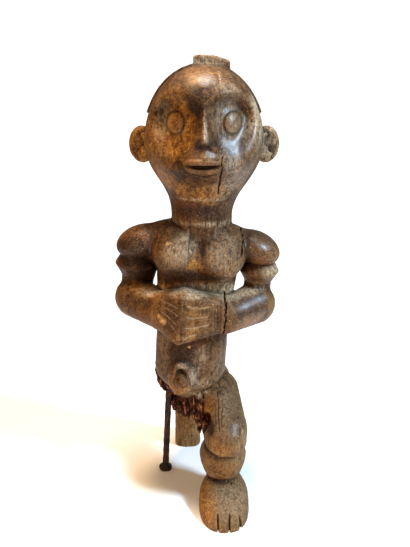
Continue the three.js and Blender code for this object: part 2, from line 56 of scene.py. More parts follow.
HEAD_X = -0.8
SKULL = Form(at=(0, 0, 345), half=(53.5, 54, 66))
FOREHEAD = Form(at=(0, -12, 371), half=(41, 38, 36.5), fillet=8)
JAW = Form(y=-2, z=306, radius=36.5, flare=0.72, fillet=9)
FACE_Y = (-12, 6)
HOLLOW = Form(x=23, z=359, inner=30, outer=24, up=32, down=37, depth=10.3)
HOLLOW_WALL = Form(softness=(0.9, 0.42), levels=(-0.5, 0.6))
EYE = Form(x=24, z=365, half=(7.6, 9), rise=3.2)
NOSE = Form(top=392, tip=353, foot=344.5, rootHalf=4.5, wingHalf=13.2, rootY=-44, tipY=-62)
NOSE_SIDE = Form(baseY=-40, bow=1.18, steepness=0.8, inset=10, recess=2, fillet=1.2)
MUZZLE = Form(half=(30, 19), rise=4.5, rim=(0.3, 1))
MOUTH = Form(z=330.5, half=(18.8, 7), slit=(15.4, 2.3), rise=2.6, depth=5, bow=0.006)
MOUTH_RIMS = Form(lips=(0.75, 1.1), slit=(0.35, 1.15))
EAR = Form(at=(56, 4, 343.5), half=(12.5, 6.5, 16.5), sweep=0.2)
EAR_DISH = Form(at=(58.5, -3, 343.5), half=(8.5, 3.4, 11.5), fillet=1)
CAP = Form(rise=2.4, frontY=1, templeZ=371, napeZ=330, slantY=(14, 32), edge=1.6)
CREST = Form(x=6.8, halfWidth=16.2, rise=8.8, frontY=2, napeZ=334, edge=2)
NECK = Form(x=-2.3, radius=28.2, depthShare=0.97, z=(258, 312), fillet=10)
HEAD_LOW = 240

BELLY = Form(x=0.2, half=(34.8, 28), squareness=2, low=130)
CHEST = Form(x=2.6, half=(40.5, 31), squareness=2.8, high=238)
TRUNK = Form(chestZ=(160, 270), pot=8, potZ=(142, 196))
YOKE = Form(at=(0, 0, 251.5), half=(60, 25, 25), fillet=8)
BREAST = Form(middle=3, at=(20.5, -21, 247), half=(21, 15, 22), tilt=-0.4, fillet=9)
CHANNEL = Form(start=(4.5, -38, 278), end=(4.5, -41, 230), radius=(8.5, 8.5), edge=1.5)
SPINE = Form(start=(0, 36, 150), end=(0, 37, 262), radius=(4.5, 4.5), edge=4)
NAVEL = Form(at=(-7.5, -36, 128), half=(13, 12.5, 17.5), fillet=4)
NAVEL_DISH = Form(at=(-8.5, -50, 136.5), half=(7, 8, 9), edge=1.5)
NAVEL_NUB = Form(at=(-7.5, -46, 130), half=(6, 9, 6.5), fillet=1.5)

ARMS_X = 1.7
SHOULDER = Form(at=(55, 0, 251.2), half=(23.5, 22.5, 15), slope=-0.38, fillet=3)
ARM = Form(x=59.5, y=5, half=(13, 15.5), ringZ=228.5, ringReach=6.5, ringHalf=11.5, steepness=0.85)
RIGHT_ARMPIT = Form(start=(-51, 8, 238), end=(-52.5, 6, 212), radius=(16, 11), fillet=2)
FOREARM = Form(start=(57.7, -2, 195.2), end=(30, -28, 191), radius=(20.2, 16.8), fillet=4)
HANDS = Form(ridgeX=(-12.5, -9), ridgeY=-59, backY=-24, z=(171, 221), topFall=9, topSlope=0.1)
HAND_EDGES = Form(top=(5, 16), bottom=(3, 20), end=8)
HAND_ENDS = Form(left=Form(x=40, y=-42, rise=5), right=Form(x=-38, y=-44, rise=10))
ARMS_SEAM = 1.5

PELVIC = Form(at=(-2, 10, 112), half=(27, 30, 26))
LEFT_BUTTOCK = Form(at=(3, 28, 94), half=(24, 28, 21))
RIGHT_BUTTOCK = Form(at=(-26, 28, 101), half=(24, 28, 21))
HIPS_TOP = 180
THIGH = Form(start=(15, 4, 94), end=(21.5, -46, 78), radius=(19.5, 19.5), fillet=9)
KNEE = Form(at=(19.6, -54, 73), half=(20.3, 18, 18.5), tilt=0.35, fillet=2)
KNEE_HOLLOW = Form(at=(1, -40, 82), half=(10.5, 12, 11), edge=2)
CALF = Form(x=17.5, y=-41, z=49, bulge=22.8, top=15, taper=24, ankle=15.5, ankleZ=25, low=6)
CALF_FORM = Form(narrowing=1.6, depthShare=1.04, steepness=0.85)
FOOT = Form(x=18.5, halfWidth=24, heelY=-20, toeY=-97, heelShare=0.82, instepZ=29, toeZ=8.5)
FOOT_FORM = Form(squareness=2.4, heelEnd=0.45, slope=(0.35, 1.05), crown=0.3, edge=10, steepness=0.9)
BROKEN = (
    Form(at=(-30, 8, 114), half=(20, 22, 23)),
    Form(at=(-15, 15, 80), half=(21, 21, 20)),
    Form(at=(-3, -6, 82), half=(12, 16, 19)),
    Form(at=(4, -25, 71.5), half=(8.5, 19, 12.5)),
)
FIBRES = Form(scale=4.5, stretch=0.65, depth=3.8)
FINE_FIBRES = Form(scale=1.7, stretch=0.7, depth=1.3)
POST = Form(x=-20, y=(55, 46), radius=(14.4, 13), top=104, squareness=3, fillet=5)
SEAMS = Form(buttocks=8, hips=3, broken=1.5, ankle=2, head=2.5, hair=1)
BELOW_GROUND = -6

NAIL = Form(x=-42.6, y=1, shank=3.3, head=6.9, headHigh=4, length=138, point=14, tilt=0.056)
NAIL_HOLE = 0.6  # how far the wood stands clear of the nail
ROSE_HEAD = Form(lip=0.8, under=(0.78, 0.98), dome=0.12, throat=0.86, flare=1.4)
HAMMERED = Form(sides=40, rings=150, square=0.085, facet=0.05, blend=3, tip=0.06)
NAIL_PITS = (Form(around=2.4, along=2.2, depth=0.16, start=3), Form(around=5, along=0.9, depth=0.1, start=1))
NAIL_BENDS = (Form(turn=0.21, depth=0.1, start=0), Form(turn=0.57, depth=0.08, start=1))


def cuts(*lines):
    """Lines cut or cracked into the front: the half width, the depth, then the places (x, z)."""
    return [Form(width=width, depth=depth, places=places) for width, depth, *places in lines]


# Dusty cuts are pale, and cracks and scratches are painted dark, as shade in them.
FINGER_CUTS = cuts(
    (0.6, 1.3, (-15, 210), (-11, 207.6), (-4, 206), (4.5, 206.2)),
    (0.55, 1.2, (-16, 199.2), (-10, 197), (3, 196.8)),
    (0.55, 1.2, (-17, 188.4), (-9, 187.5), (3.4, 188.8)),
    (0.5, 1, (-19, 177.5), (-14, 179.8), (-8, 180.6)),
    (0.5, 0.5, (-38, 211.2), (-31, 209.8), (-24, 207.2)),
    (0.5, 0.5, (-38.5, 206.2), (-31, 204.2), (-24.5, 200.4)),
    (0.5, 0.5, (-40, 201.6), (-33, 198.2), (-26, 192)),
    (0.5, 0.4, (-33, 192.5), (-27, 186.5), (-23, 181)),
)
CRACKS = cuts(
    (0.45, 0.7, (11, 402), (12.5, 380), (13.2, 352), (14.2, 338)),
    (0.5, 2.2, (14.2, 338), (13.6, 327), (12.5, 318), (11.2, 305)),
    (0.32, 3, (27, 277), (33, 269), (34.6, 259), (32.6, 247)),
    (0.4, 3, (17.2, 212), (18.6, 206), (18.6, 198), (18.2, 188), (16.6, 176)),
    (0.4, 0.5, (6, 203), (5.6, 188)),
    (0.4, 0.5, (8.4, 202), (8.8, 186)),
    (0.4, 0.4, (11, 206), (11.2, 191)),
    (0.5, 0.9, (12.4, 105), (13, 87)),
    (0.4, 0.6, (16.2, 102), (15.6, 89)),
    (0.4, 0.6, (9.6, 99), (10.2, 90)),
    (0.45, 1.1, (12, 110), (15, 107.2), (19, 107.8), (22.5, 105)),
    (0.4, 0.7, (14, 112), (18, 111.6), (24, 108.5)),
)
EDGE_GROOVE = Form(places=((-1.5, 372), (0, 355), (2.5, 330)), beyond=40, width=0.7, depth=1.6)
GROOVE_WALL = (0.4, 1.7)  # where a groove's wall starts and ends, as shares of its half width
GROOVE_ENDS = 3
CHEST_STEP = Form(height=1.5, width=19, edge=1, low=(-4, 8), high=(-6, 0), band=(228, 284))
CHEST_STEP.places = ((-15.5, 236), (-16.5, 246), (-14.2, 266), (-15, 279))
TOE_SLITS = Form(lines=((11.4, 12.6), (23, 22.4), (31.6, 34.2), (37.6, 41)), width=0.6, depth=2.6)
TOES = Form(y=(-80, -100), start=(82, 89), top=18)
KNEE_CREVICE = Form(start=(-5, -54, 68), end=(13, -69, 62), radius=(6, 1), edge=0.8)
FOOT_PIT = Form(at=(25.3, -58.4, 26.6), half=(0.9, 2.2, 3), edge=0.5)

# The finish that the tools and weather left: how rough, and over what length.
TOOL_MARKS = Form(scale=4.6, depth=0.14)
SMALL_MARKS = Form(scale=1.5, depth=0.04)
WEATHERED = Form(scale=0.85, stretch=0.09, depth=0.2, z=(100, 140))
CREST_WEAR = Form(scale=4, depth=0.3, low=404)
EAR_WEAR = Form(scale=1.8, depth=0.3)

# Meshing.
GRID_BOX = Form(low=(-90, -104, -3), high=(86, 76, 424))
GRID_STEP = 1.1
BLOCK = 4  # grid places on each side of a block, which is skipped whole when it is far from the surface
BLOCK_MARGIN = 4
SETTLE = Form(nudge=0.3, flattest=0.05, share=1 / 3)
CARVING_TRIANGLES = 190000


def lerp(a, b, share):
    return a + (b - a) * share


def smoothstep(value, low, high):
    share = np.clip((value - low) / (high - low), 0, 1)
    return share * share * (3 - 2 * share)


def join(a, b, k):
    """The nearer of two forms, with a fillet of about k between them."""
    h = np.maximum(k - np.abs(a - b), 0) / k
    return np.minimum(a, b) - h * h * k / 4


def carve(a, b, k):
    """Form a with form b taken away, with an edge softened by k."""
    return -join(-a, b, k)


def greatest(*values):
    """The greatest of the values. Of distances from several walls, it is the space inside them all."""
    return functools.reduce(np.maximum, values)


def squared_length(power, *parts):
    """The length of a vector when corners are squared: power 2 gives a circle, 3 a rounded square."""
    return sum(np.abs(part) ** power for part in parts) ** (1 / power)


def ellipsoid(x, y, z, form):
    at, half = form.at, form.half
    u, v, w = (x - at[0]) / half[0], (y - at[1]) / half[1], (z - at[2]) / half[2]
    reach = np.sqrt(u * u + v * v + w * w)
    steepness = np.sqrt((u / half[0]) ** 2 + (v / half[1]) ** 2 + (w / half[2]) ** 2)
    return reach * (reach - 1) / np.maximum(steepness, 1e-6)


def limb(x, y, z, form):
    """A straight run whose radius goes evenly from one end to the other."""
    start, end = form.start, form.end
    run = [b - a for a, b in zip(start, end)]
    px, py, pz = x - start[0], y - start[1], z - start[2]
    share = np.clip((px * run[0] + py * run[1] + pz * run[2]) / sum(d * d for d in run), 0, 1)
    reach = np.sqrt((px - share * run[0]) ** 2 + (py - share * run[1]) ** 2 + (pz - share * run[2]) ** 2)
    return reach - lerp(*form.radius, share)


def turn(u, v, angle):
    c, s = math.cos(angle), math.sin(angle)
    return u * c + v * s, v * c - u * s


def tipped_ellipsoid(x, y, z, form):
    """An ellipsoid turned about x, in its own side view."""
    at = form.at
    v, w = turn(y - at[1], z - at[2], form.tilt)
    return ellipsoid(x - at[0], v, w, Form(at=(0, 0, 0), half=form.half))


def skull(x, y, z):
    dome = join(ellipsoid(x, y, z, SKULL), ellipsoid(x, y, z, FOREHEAD), FOREHEAD.fillet)
    outside_jaw = np.hypot(x, y - JAW.y) - JAW.radius - (z - JAW.z) * JAW.flare
    return carve(dome, -outside_jaw / math.hypot(1, JAW.flare), JAW.fillet)


def hollow(x, z):
    side = np.abs(x) - HOLLOW.x
    level = z - HOLLOW.z
    side_share = side / np.where(side < 0, HOLLOW.inner, HOLLOW.outer)
    level_share = level / np.where(level > 0, HOLLOW.up, HOLLOW.down)
    softness = lerp(*HOLLOW_WALL.softness, smoothstep(level_share, *HOLLOW_WALL.levels))
    inward = 1 - np.hypot(side_share, level_share)
    return HOLLOW.depth * smoothstep(inward, 0, softness)


def disc(x, z, half, rim):
    """How much of a disc's height is left at x, z: all of it inside, and none outside its rim."""
    return 1 - smoothstep(np.hypot(x / half[0], z / half[1]), *rim)


def eye_reach(x, z):
    """How far x, z is from the middle of the nearer eye, where 1 is the eye's rim."""
    return np.hypot((np.abs(x) - EYE.x) / EYE.half[0], (z - EYE.z) / EYE.half[1])


def eye(x, z):
    return EYE.rise * np.sqrt(1 - np.minimum(eye_reach(x, z), 1) ** 2)


def mouth(x, z):
    level = z - MOUTH.z - MOUTH.bow * x * x
    muzzle = MUZZLE.rise * disc(x, level, MUZZLE.half, MUZZLE.rim)
    lips = MOUTH.rise * disc(x, level, MOUTH.half, MOUTH_RIMS.lips)
    return muzzle + lips - MOUTH.depth * disc(x, level, MOUTH.slit, MOUTH_RIMS.slit)


def nose(x, y, z):
    base = NOSE_SIDE.baseY
    down = np.clip((NOSE.top - z) / (NOSE.top - NOSE.tip), 0, 1.2)
    half_width = lerp(NOSE.rootHalf, NOSE.wingHalf, down)
    height = base - lerp(NOSE.rootY, NOSE.tipY, down)
    section = (np.abs(x) / half_width) ** NOSE_SIDE.bow + (base - y) / height - 1
    flank = section * (half_width / np.hypot(1, half_width / height)) * NOSE_SIDE.steepness
    rise = NOSE.tip - NOSE.foot
    run = rise + NOSE_SIDE.recess
    under = (-run * (z - NOSE.tip) - rise * (y - NOSE.tipY)) / math.hypot(run, rise)
    return greatest(flank, under, z - NOSE.top - NOSE_SIDE.recess, y - base - NOSE_SIDE.inset)


def ear(x, y, z):
    side = np.abs(x)
    swept = y - EAR.sweep * (side - EAR.at[0])
    return carve(ellipsoid(side, swept, z, EAR), ellipsoid(side, swept, z, EAR_DISH), EAR_DISH.fillet)


def head(x, y, z):
    d = skull(x, y, z)
    frontal = 1 - smoothstep(y, *FACE_Y)
    with_nose = join(d + hollow(x, z) * frontal, nose(x, y, z), NOSE_SIDE.fillet)
    d = np.where(frontal > 0, with_nose - (eye(x, z) + mouth(x, z)) * frontal, d)
    column = np.hypot(x - NECK.x, y / NECK.depthShare) - NECK.radius
    low, high = NECK.z
    return join(d, greatest(column, low - z, z - high), NECK.fillet)


def hair(x, y, z):
    """A thin cap with a stepped edge, and a flat crest from the top of the brow to the nape."""
    above = skull(x, y, z)
    lower = lerp(CAP.templeZ, CAP.napeZ, smoothstep(y, *CAP.slantY))
    cap = carve(above - CAP.rise, np.minimum(y - CAP.frontY, z - lower), CAP.edge)
    sides = np.abs(x - CREST.x) - CREST.halfWidth
    outside_crest = greatest(sides, CREST.napeZ - z, CREST.frontY - y)
    return join(cap, carve(above - CREST.rise, -outside_crest, CREST.edge), SEAMS.hair)


def trunk(x, y, z):
    up = smoothstep(z, *TRUNK.chestZ)
    half_width, half_depth = [lerp(BELLY.half[axis], CHEST.half[axis], up) for axis in (0, 1)]
    forward = TRUNK.pot * (1 - smoothstep(z, *TRUNK.potZ))
    across = (x - lerp(BELLY.x, CHEST.x, up)) / half_width
    deep = (y + forward) / half_depth
    beyond = greatest(BELLY.low - z, z - CHEST.high, 0) / half_depth
    reach = squared_length(lerp(BELLY.squareness, CHEST.squareness, up), across, deep, beyond)
    return join((reach - 1) * half_depth, ellipsoid(x, y, z, YOKE), YOKE.fillet)


def bust(x, y, z):
    breast = tipped_ellipsoid(np.abs(x - BREAST.middle), y, z, BREAST)
    front = carve(join(trunk(x, y, z), breast, BREAST.fillet), limb(x, y, z, CHANNEL), CHANNEL.edge)
    return carve(front, limb(x, y, z, SPINE), SPINE.edge)


def navel(x, y, z):
    ring = carve(ellipsoid(x, y, z, NAVEL), ellipsoid(x, y, z, NAVEL_DISH), NAVEL_DISH.edge)
    return join(ring, ellipsoid(x, y, z, NAVEL_NUB), NAVEL_NUB.fillet)


def shoulder(x, y, z):
    at = SHOULDER.at
    along, up = turn(np.abs(x) - at[0], z - at[2], SHOULDER.slope)
    return ellipsoid(along, y - at[1], up, Form(at=(0, 0, 0), half=SHOULDER.half))


def upper_arm(x, y, z):
    reach = np.hypot((np.abs(x) - ARM.x) / ARM.half[0], (y - ARM.y) / ARM.half[1])
    ring = np.maximum(0, 1 - np.abs(z - ARM.ringZ) / ARM.ringHalf) * ARM.ringReach
    side = ((reach - 1) * ARM.half[0] - ring) * ARM.steepness
    return greatest(side, z - SHOULDER.at[2], FOREARM.start[2] - z)


def hands(x, y, z):
    low, top_z = HANDS.z
    high = np.clip((z - low) / (top_z - low), 0, 1)
    side = x - lerp(*HANDS.ridgeX, high)
    left, right = HAND_ENDS.left, HAND_ENDS.right
    is_left = side > 0
    run = np.where(is_left, left.x - HANDS.ridgeX[1], HANDS.ridgeX[1] - right.x)
    fall = np.where(is_left, left.y, right.y) - HANDS.ridgeY
    rise = np.where(is_left, left.rise, right.rise)
    share = np.clip(np.abs(side) / run, 0, 1.2)
    front = ((HANDS.ridgeY - y) * run + np.abs(side) * fall) / np.hypot(run, fall)
    top = z - top_z + HANDS.topFall * share + (y - HANDS.ridgeY) * HANDS.topSlope
    bottom = low + rise * share - z
    lower_edged = carve(front, -bottom, lerp(*HAND_EDGES.bottom, share))
    prow = carve(lower_edged, -top, lerp(*HAND_EDGES.top, share))
    return np.maximum(carve(prow, run - np.abs(side), HAND_EDGES.end), y - HANDS.backY)


def torso(x, y, z):
    """Bust, arms and clasped hands, in the leaning frame."""
    side = x - ARMS_X
    upper = join(bust(x, y, z), shoulder(side, y, z), SHOULDER.fillet)
    armpit = limb(side, y, z, RIGHT_ARMPIT)
    lower = join(limb(np.abs(side), y, z, FOREARM), hands(x, y, z), FOREARM.fillet)
    arms = join(join(upper_arm(side, y, z), armpit, RIGHT_ARMPIT.fillet), lower, RIGHT_ARMPIT.fillet)
    return join(upper, arms, ARMS_SEAM)


def upper_leg(x, y, z):
    thigh = carve(limb(x, y, z, THIGH), ellipsoid(x, y, z, KNEE_HOLLOW), KNEE_HOLLOW.edge)
    return join(thigh, tipped_ellipsoid(x, y, z, KNEE), KNEE.fillet)


def calf(x, y, z):
    above = smoothstep(z, CALF.z, CALF.z + CALF.taper)
    below = np.clip((CALF.z - z) / (CALF.z - CALF.ankleZ), 0, 1) ** CALF_FORM.narrowing
    upper, lower = lerp(CALF.bulge, CALF.top, above), lerp(CALF.bulge, CALF.ankle, below)
    deep = (y - CALF.y) * CALF_FORM.depthShare
    side = np.hypot(x - CALF.x, deep) - np.where(z > CALF.z, upper, lower)
    return greatest(side * CALF_FORM.steepness, z - CALF.z - CALF.taper, CALF.low - z)


def foot(x, y, z):
    form = FOOT_FORM
    forward = (FOOT.heelY - y) / (FOOT.heelY - FOOT.toeY)
    half_width = FOOT.halfWidth * lerp(FOOT.heelShare, 1, smoothstep(forward, 0, form.heelEnd))
    across = (x - FOOT.x) / half_width
    plan = (squared_length(form.squareness, across, 2 * forward - 1) - 1) * half_width
    crown = 1 - form.crown * np.minimum(np.abs(across) ** form.squareness, 1)
    top = z - lerp(FOOT.instepZ, FOOT.toeZ, smoothstep(forward, *form.slope)) * crown
    return np.maximum(carve(plan, -top * form.steepness, form.edge), BELOW_GROUND - z)


def post(x, y, z):
    up = z / POST.top
    reach = squared_length(POST.squareness, x - POST.x, y - lerp(*POST.y, up))
    side = reach - lerp(*POST.radius, np.clip(up, 0, 1))
    return greatest(side, z - POST.top, BELOW_GROUND - z)


def rough(x, y, z):
    """A slow, even roughness, about 1 high at most: of waves that don't repeat together."""
    swirl = np.sin(2.1 * x + 1.7 * np.sin(1.3 * y + 0.5)) * np.cos(1.1 * z + x)
    weave = np.sin(2.7 * y + 1.3 * np.sin(1.9 * z + 1.1)) * np.cos(1.7 * x - y)
    bands = np.sin(1.3 * z + 2.1 * np.sin(2.3 * x + 2))
    return (swirl + 0.8 * weave + 0.6 * bands) / 2.4


def marks(x, y, z, form):
    scale = form.scale
    return form.depth * rough(x / scale, y / scale, z * getattr(form, "stretch", 1) / scale)


def broken_forms(x, y, z):
    d = ellipsoid(x, y, z, BROKEN[0])
    for form in BROKEN[1:]:
        d = np.minimum(d, ellipsoid(x, y, z, form))
    return d


def lost_hip(x, y, z):
    """The broken and eaten wood under the belly. It broke along the grain."""
    return broken_forms(x, y, z) + marks(x, y, z, FIBRES) + marks(x, y, z, FINE_FIBRES)


def leaning(x, z):
    u, v = turn(x - PELVIS.x, z - PELVIS.z, -LEAN)
    return u, v + PELVIS.z


def hips(x, y, z):
    u, w = leaning(x, z)
    buttocks = np.minimum(ellipsoid(x, y, z, LEFT_BUTTOCK), ellipsoid(x, y, z, RIGHT_BUTTOCK))
    seat = join(ellipsoid(u, y, w, PELVIC), buttocks, SEAMS.buttocks)
    return join(join(seat, upper_leg(x, y, z), THIGH.fillet), post(x, y, z), POST.fillet)


def nail_distance(x, y, z):
    u, w = turn(x - NAIL.x, z, -NAIL.tilt)
    return np.maximum(np.hypot(u, y - NAIL.y) - NAIL.shank, w - NAIL.length)


def line_distance(u, v, places, wander=0.3):
    """How far u, v is from a line through places, which wanders a little as a hand or a crack does."""
    wandering = u + wander * (np.sin(v * 0.55) + 0.5 * np.sin(v * 1.7 + 1))
    nearest = None
    for (a, b), (c, d) in zip(places, places[1:]):
        run, rise = c - a, d - b
        share = np.clip(((wandering - a) * run + (v - b) * rise) / (run * run + rise * rise), 0, 1)
        reach = np.hypot(wandering - a - share * run, v - b - share * rise)
        nearest = reach if nearest is None else np.minimum(nearest, reach)
    return nearest


def groove_share(off, width):
    """How much of a groove's depth there is at this distance from its middle."""
    return 1 - smoothstep(off, *[width * share for share in GROOVE_WALL])


def groove(u, v, cut):
    return cut.depth * groove_share(line_distance(u, v, cut.places), cut.width)


def deepest_groove(x, y, z, cuts):
    deepest = np.zeros_like(x)
    for cut in cuts:
        levels = [place[1] for place in cut.places]
        near = (y < 0) & (z > min(levels) - GROOVE_ENDS) & (z < max(levels) + GROOVE_ENDS)
        deepest[near] = np.maximum(deepest[near], groove(x[near], z[near], cut))
    return deepest


def edge_groove(x, y, z):
    """The line in front of each ear, where the cap's edge runs on down."""
    return np.where(np.abs(x) > EDGE_GROOVE.beyond, groove(y, z, EDGE_GROOVE), 0)


def toe_slits(x, y, z):
    back, front = TOES.y
    share = (y - back) / (front - back)
    slits = [groove_share(np.abs(x - lerp(*line, share)), TOE_SLITS.width) for line in TOE_SLITS.lines]
    return TOE_SLITS.depth * greatest(*slits) * smoothstep(-y, *TOES.start)


def chest_step(x, y, z):
    """The crisp inner edge of the right breast, which the valley beside it falls away from."""
    form = CHEST_STEP
    edge, levels = zip(*form.places)
    past = x - np.interp(z, levels, edge)
    begun = smoothstep(z, *[levels[0] + far for far in form.low])
    ended = smoothstep(z, *[levels[-1] + far for far in form.high])
    fall = smoothstep(past, -form.edge, form.edge) * (1 - smoothstep(past, form.edge, form.width))
    return np.where(y < 0, form.height * fall * begun * (1 - ended), 0)


def finish_relief(x, y, z):
    """The slight unevenness of hand work, and below, of weathered grain."""
    worked = marks(x, y, z, TOOL_MARKS) + marks(x, y, z, SMALL_MARKS)
    low = z < WEATHERED.z[1]
    share = 1 - smoothstep(z[low], *WEATHERED.z)
    worked[low] += share * marks(x[low], y[low], z[low], WEATHERED)
    return worked


def carving(x, y, z):
    """The whole block, with its sharp cuts, cracks, the nail's hole and the level underside."""
    u, w = leaning(x, z)
    d = torso(u, y, w)
    high = z > HEAD_LOW
    side, yh, zh = x[high] - HEAD_X, y[high], z[high]
    ears = ear(side, yh, zh) + marks(side, yh, zh, EAR_WEAR)
    with_head = join(d[high], np.minimum(head(side, yh, zh), ears), SEAMS.head)
    worn_crest = np.where(zh > CREST_WEAR.low, marks(side, yh, zh, CREST_WEAR), 0)
    with_hair = join(with_head, hair(side, yh, zh) + worn_crest, SEAMS.hair)
    d[high] = with_hair + edge_groove(side, yh, zh)
    middle = (w > CHEST_STEP.band[0]) & (w < CHEST_STEP.band[1])
    d[middle] += chest_step(x[middle], y[middle], z[middle])
    low = w < HIPS_TOP
    xl, yl, zl = x[low], y[low], z[low]
    dl = join(d[low], navel(u[low], yl, w[low]), NAVEL.fillet)
    dl = join(join(dl, hips(xl, yl, zl), SEAMS.hips), lost_hip(xl, yl, zl), SEAMS.broken)
    lower_leg = join(calf(xl, yl, zl), foot(xl, yl, zl) + toe_slits(xl, yl, zl), SEAMS.ankle)
    dl = join(dl, lower_leg, SEAMS.broken)
    dl = carve(dl, limb(xl, yl, zl, KNEE_CREVICE), KNEE_CREVICE.edge)
    dl = carve(dl, ellipsoid(xl, yl, zl, FOOT_PIT), FOOT_PIT.edge)
    d[low] = np.maximum(dl, NAIL_HOLE - nail_distance(xl, yl, zl))
    d = d + finish_relief(x, y, z)
    d = d + np.maximum(deepest_groove(x, y, z, FINGER_CUTS), deepest_groove(x, y, z, CRACKS))
    return np.maximum(d, -z)


TETRAHEDRA = ((0, 1, 3, 7), (0, 3, 2, 7), (0, 2, 6, 7), (0, 6, 4, 7), (0, 4, 5, 7), (0, 5, 1, 7))
CROSSINGS = {
    1: ((0, 1), (0, 2), (0, 3)),
    2: ((0, 2), (0, 3), (1, 3), (0, 2), (1, 3), (1, 2)),
    3: ((0, 3), (1, 3), (2, 3)),
}


def inside_first(inside):
    """The order of a tetrahedron's corners with the inside ones first, keeping its handedness."""
    order = [c for c in range(4) if inside[c]] + [c for c in range(4) if not inside[c]]
    swaps = sum(order[j] < order[i] for i in range(4) for j in range(i + 1, 4))
    a, b = (2, 3) if sum(inside) < 3 else (0, 1)
    if swaps % 2:
        order[a], order[b] = order[b], order[a]
    return order


def grid_values(field):
    """The field on a grid: every place in blocks near the surface, and one value for each other block."""
    low, high = GRID_BOX.low, GRID_BOX.high
    blocks = [math.ceil((b - a) / (GRID_STEP * BLOCK)) for a, b in zip(low, high)]
    centres = [a + (np.arange(n) * BLOCK + (BLOCK - 1) / 2) * GRID_STEP for a, n in zip(low, blocks)]
    coarse = np.meshgrid(*centres, indexing="ij")
    coarse_values = field(*[axis.ravel().astype(np.float32) for axis in coarse])
    near = np.abs(coarse_values) < BLOCK * GRID_STEP + BLOCK_MARGIN
    values = np.repeat(coarse_values[:, None], BLOCK**3, axis=1).astype(np.float32)
    inner = (np.arange(BLOCK) - (BLOCK - 1) / 2) * GRID_STEP
    offsets = [axis.ravel() for axis in np.meshgrid(inner, inner, inner, indexing="ij")]
    places = [
        (axis.ravel()[near][:, None] + offset[None, :]).ravel().astype(np.float32)
        for axis, offset in zip(coarse, offsets)
    ]
    values[near] = field(*places).reshape(-1, BLOCK**3)
    values = values.reshape(*blocks, BLOCK, BLOCK, BLOCK).transpose(0, 3, 1, 4, 2, 5)
    return values.reshape([n * BLOCK for n in blocks])


def polygonize(field):
    """A closed mesh of the field's surface, with one vertex where it crosses each tetrahedron's edge."""
    values = grid_values(field)
    values[values == 0] = 1e-6
    shape = values.shape
    inside = values < 0
    corners = [(c & 1, (c >> 1) & 1, c >> 2) for c in range(8)]
    windows = [tuple(slice(o, n - 1 + o) for o, n in zip(corner, shape)) for corner in corners]
    count = sum(inside[window].astype(np.int8) for window in windows)
    cells = np.argwhere((count > 0) & (count < 8))
    strides = np.array([shape[1] * shape[2], shape[2], 1])
    offsets = np.array(corners) @ strides
    cell_corners = (cells @ strides)[:, None] + offsets[None, :]
    flat = values.ravel()
    edges = []
    for tetrahedron in TETRAHEDRA:
        places = cell_corners[:, tetrahedron]
        codes = ((flat[places] < 0) * [1, 2, 4, 8]).sum(axis=1)
        for code in range(1, 15):
            signs = [bool(code >> c & 1) for c in range(4)]
            order = inside_first(signs)
            these = places[codes == code]
            for a, b in CROSSINGS[sum(signs)]:
                edges.append(these[:, [order[a], order[b]]])
    return finish_mesh(field, flat, shape, edges)


def finish_mesh(field, flat, shape, edges):
    triangles = [np.stack(edges[i : i + 3], axis=1) for i in range(0, len(edges), 3)]
    pairs = np.sort(np.concatenate(triangles).reshape(-1, 2), axis=1)
    keys, corner = np.unique(pairs[:, 0] * flat.size + pairs[:, 1], return_inverse=True)
    start, end = keys // flat.size, keys % flat.size
    share = (flat[start] / (flat[start] - flat[end]))[:, None]
    low = np.array(GRID_BOX.low)
    ends = [low + np.stack(np.unravel_index(at, shape), axis=1) * GRID_STEP for at in (start, end)]
    return settle(field, lerp(*ends, share)), corner.reshape(-1, 3)


def slope_of(field, points):
    here = field(*points.T.astype(np.float32))
    nudge = SETTLE.nudge
    slope = np.empty((len(points), 3))
    for axis in range(3):
        ahead = points.copy()
        ahead[:, axis] += nudge
        slope[:, axis] = (field(*ahead.T.astype(np.float32)) - here) / nudge
    return here, slope


def settle(field, points):
    """Moves points down the field's slope onto the surface, no further than a share of the grid's step."""
    here, slope = slope_of(field, points)
    steepness = np.maximum((slope**2).sum(axis=1), SETTLE.flattest)
    move = slope * (-here / steepness)[:, None]
    furthest = GRID_STEP * SETTLE.share
    return points + np.clip(move, -furthest, furthest)


def shared(points):
    """Points from the carver's frame in millimetres to the shared frame in metres."""
    return (np.asarray(points) - [*FOOTPRINT, 0]) * MM


def placed(name, data):
    made = bpy.data.objects.new(name, data)
    bpy.context.scene.collection.objects.link(made)
    return made


def mesh_object(name, points, faces, material):
    mesh = bpy.data.meshes.new(name)
    mesh.vertices.add(len(points))
    mesh.vertices.foreach_set("co", shared(points).astype(np.float32).ravel())
    mesh.loops.add(len(faces) * 3)
    mesh.loops.foreach_set("vertex_index", faces.astype(np.int32).ravel())
    mesh.polygons.add(len(faces))
    mesh.polygons.foreach_set("loop_start", np.arange(0, len(faces) * 3, 3, dtype=np.int32))
    mesh.update(calc_edges=True)
    mesh.validate()
    mesh.materials.append(material)
    return placed(name, mesh)


def thin(thing, triangles):
    """Applies a collapse that leaves about this many triangles."""
    share = triangles / len(thing.data.polygons)
    if share >= 1:
        return
    modifier = thing.modifiers.new("thin", "DECIMATE")
    modifier.ratio = share
    bpy.context.view_layer.objects.active = thing
    bpy.ops.object.modifier_apply(modifier=modifier.name)


def neighbours_mean(points, edges, rounds):
    """Each point moved to the mean of its neighbours, this many times."""
    degree = np.maximum(np.bincount(edges.ravel(), minlength=len(points)), 1)
    for _ in range(rounds):
        total = np.empty_like(points)
        for axis in range(3):
            first = np.bincount(edges[:, 0], points[edges[:, 1], axis], len(points))
            total[:, axis] = first + np.bincount(edges[:, 1], points[edges[:, 0], axis], len(points))
        points = total / degree[:, None]
    return points


def read(parts, name, width, kind=float):
    values = np.empty(len(parts) * width, dtype=kind)
    parts.foreach_get(name, values)
    return values.reshape(-1, width)


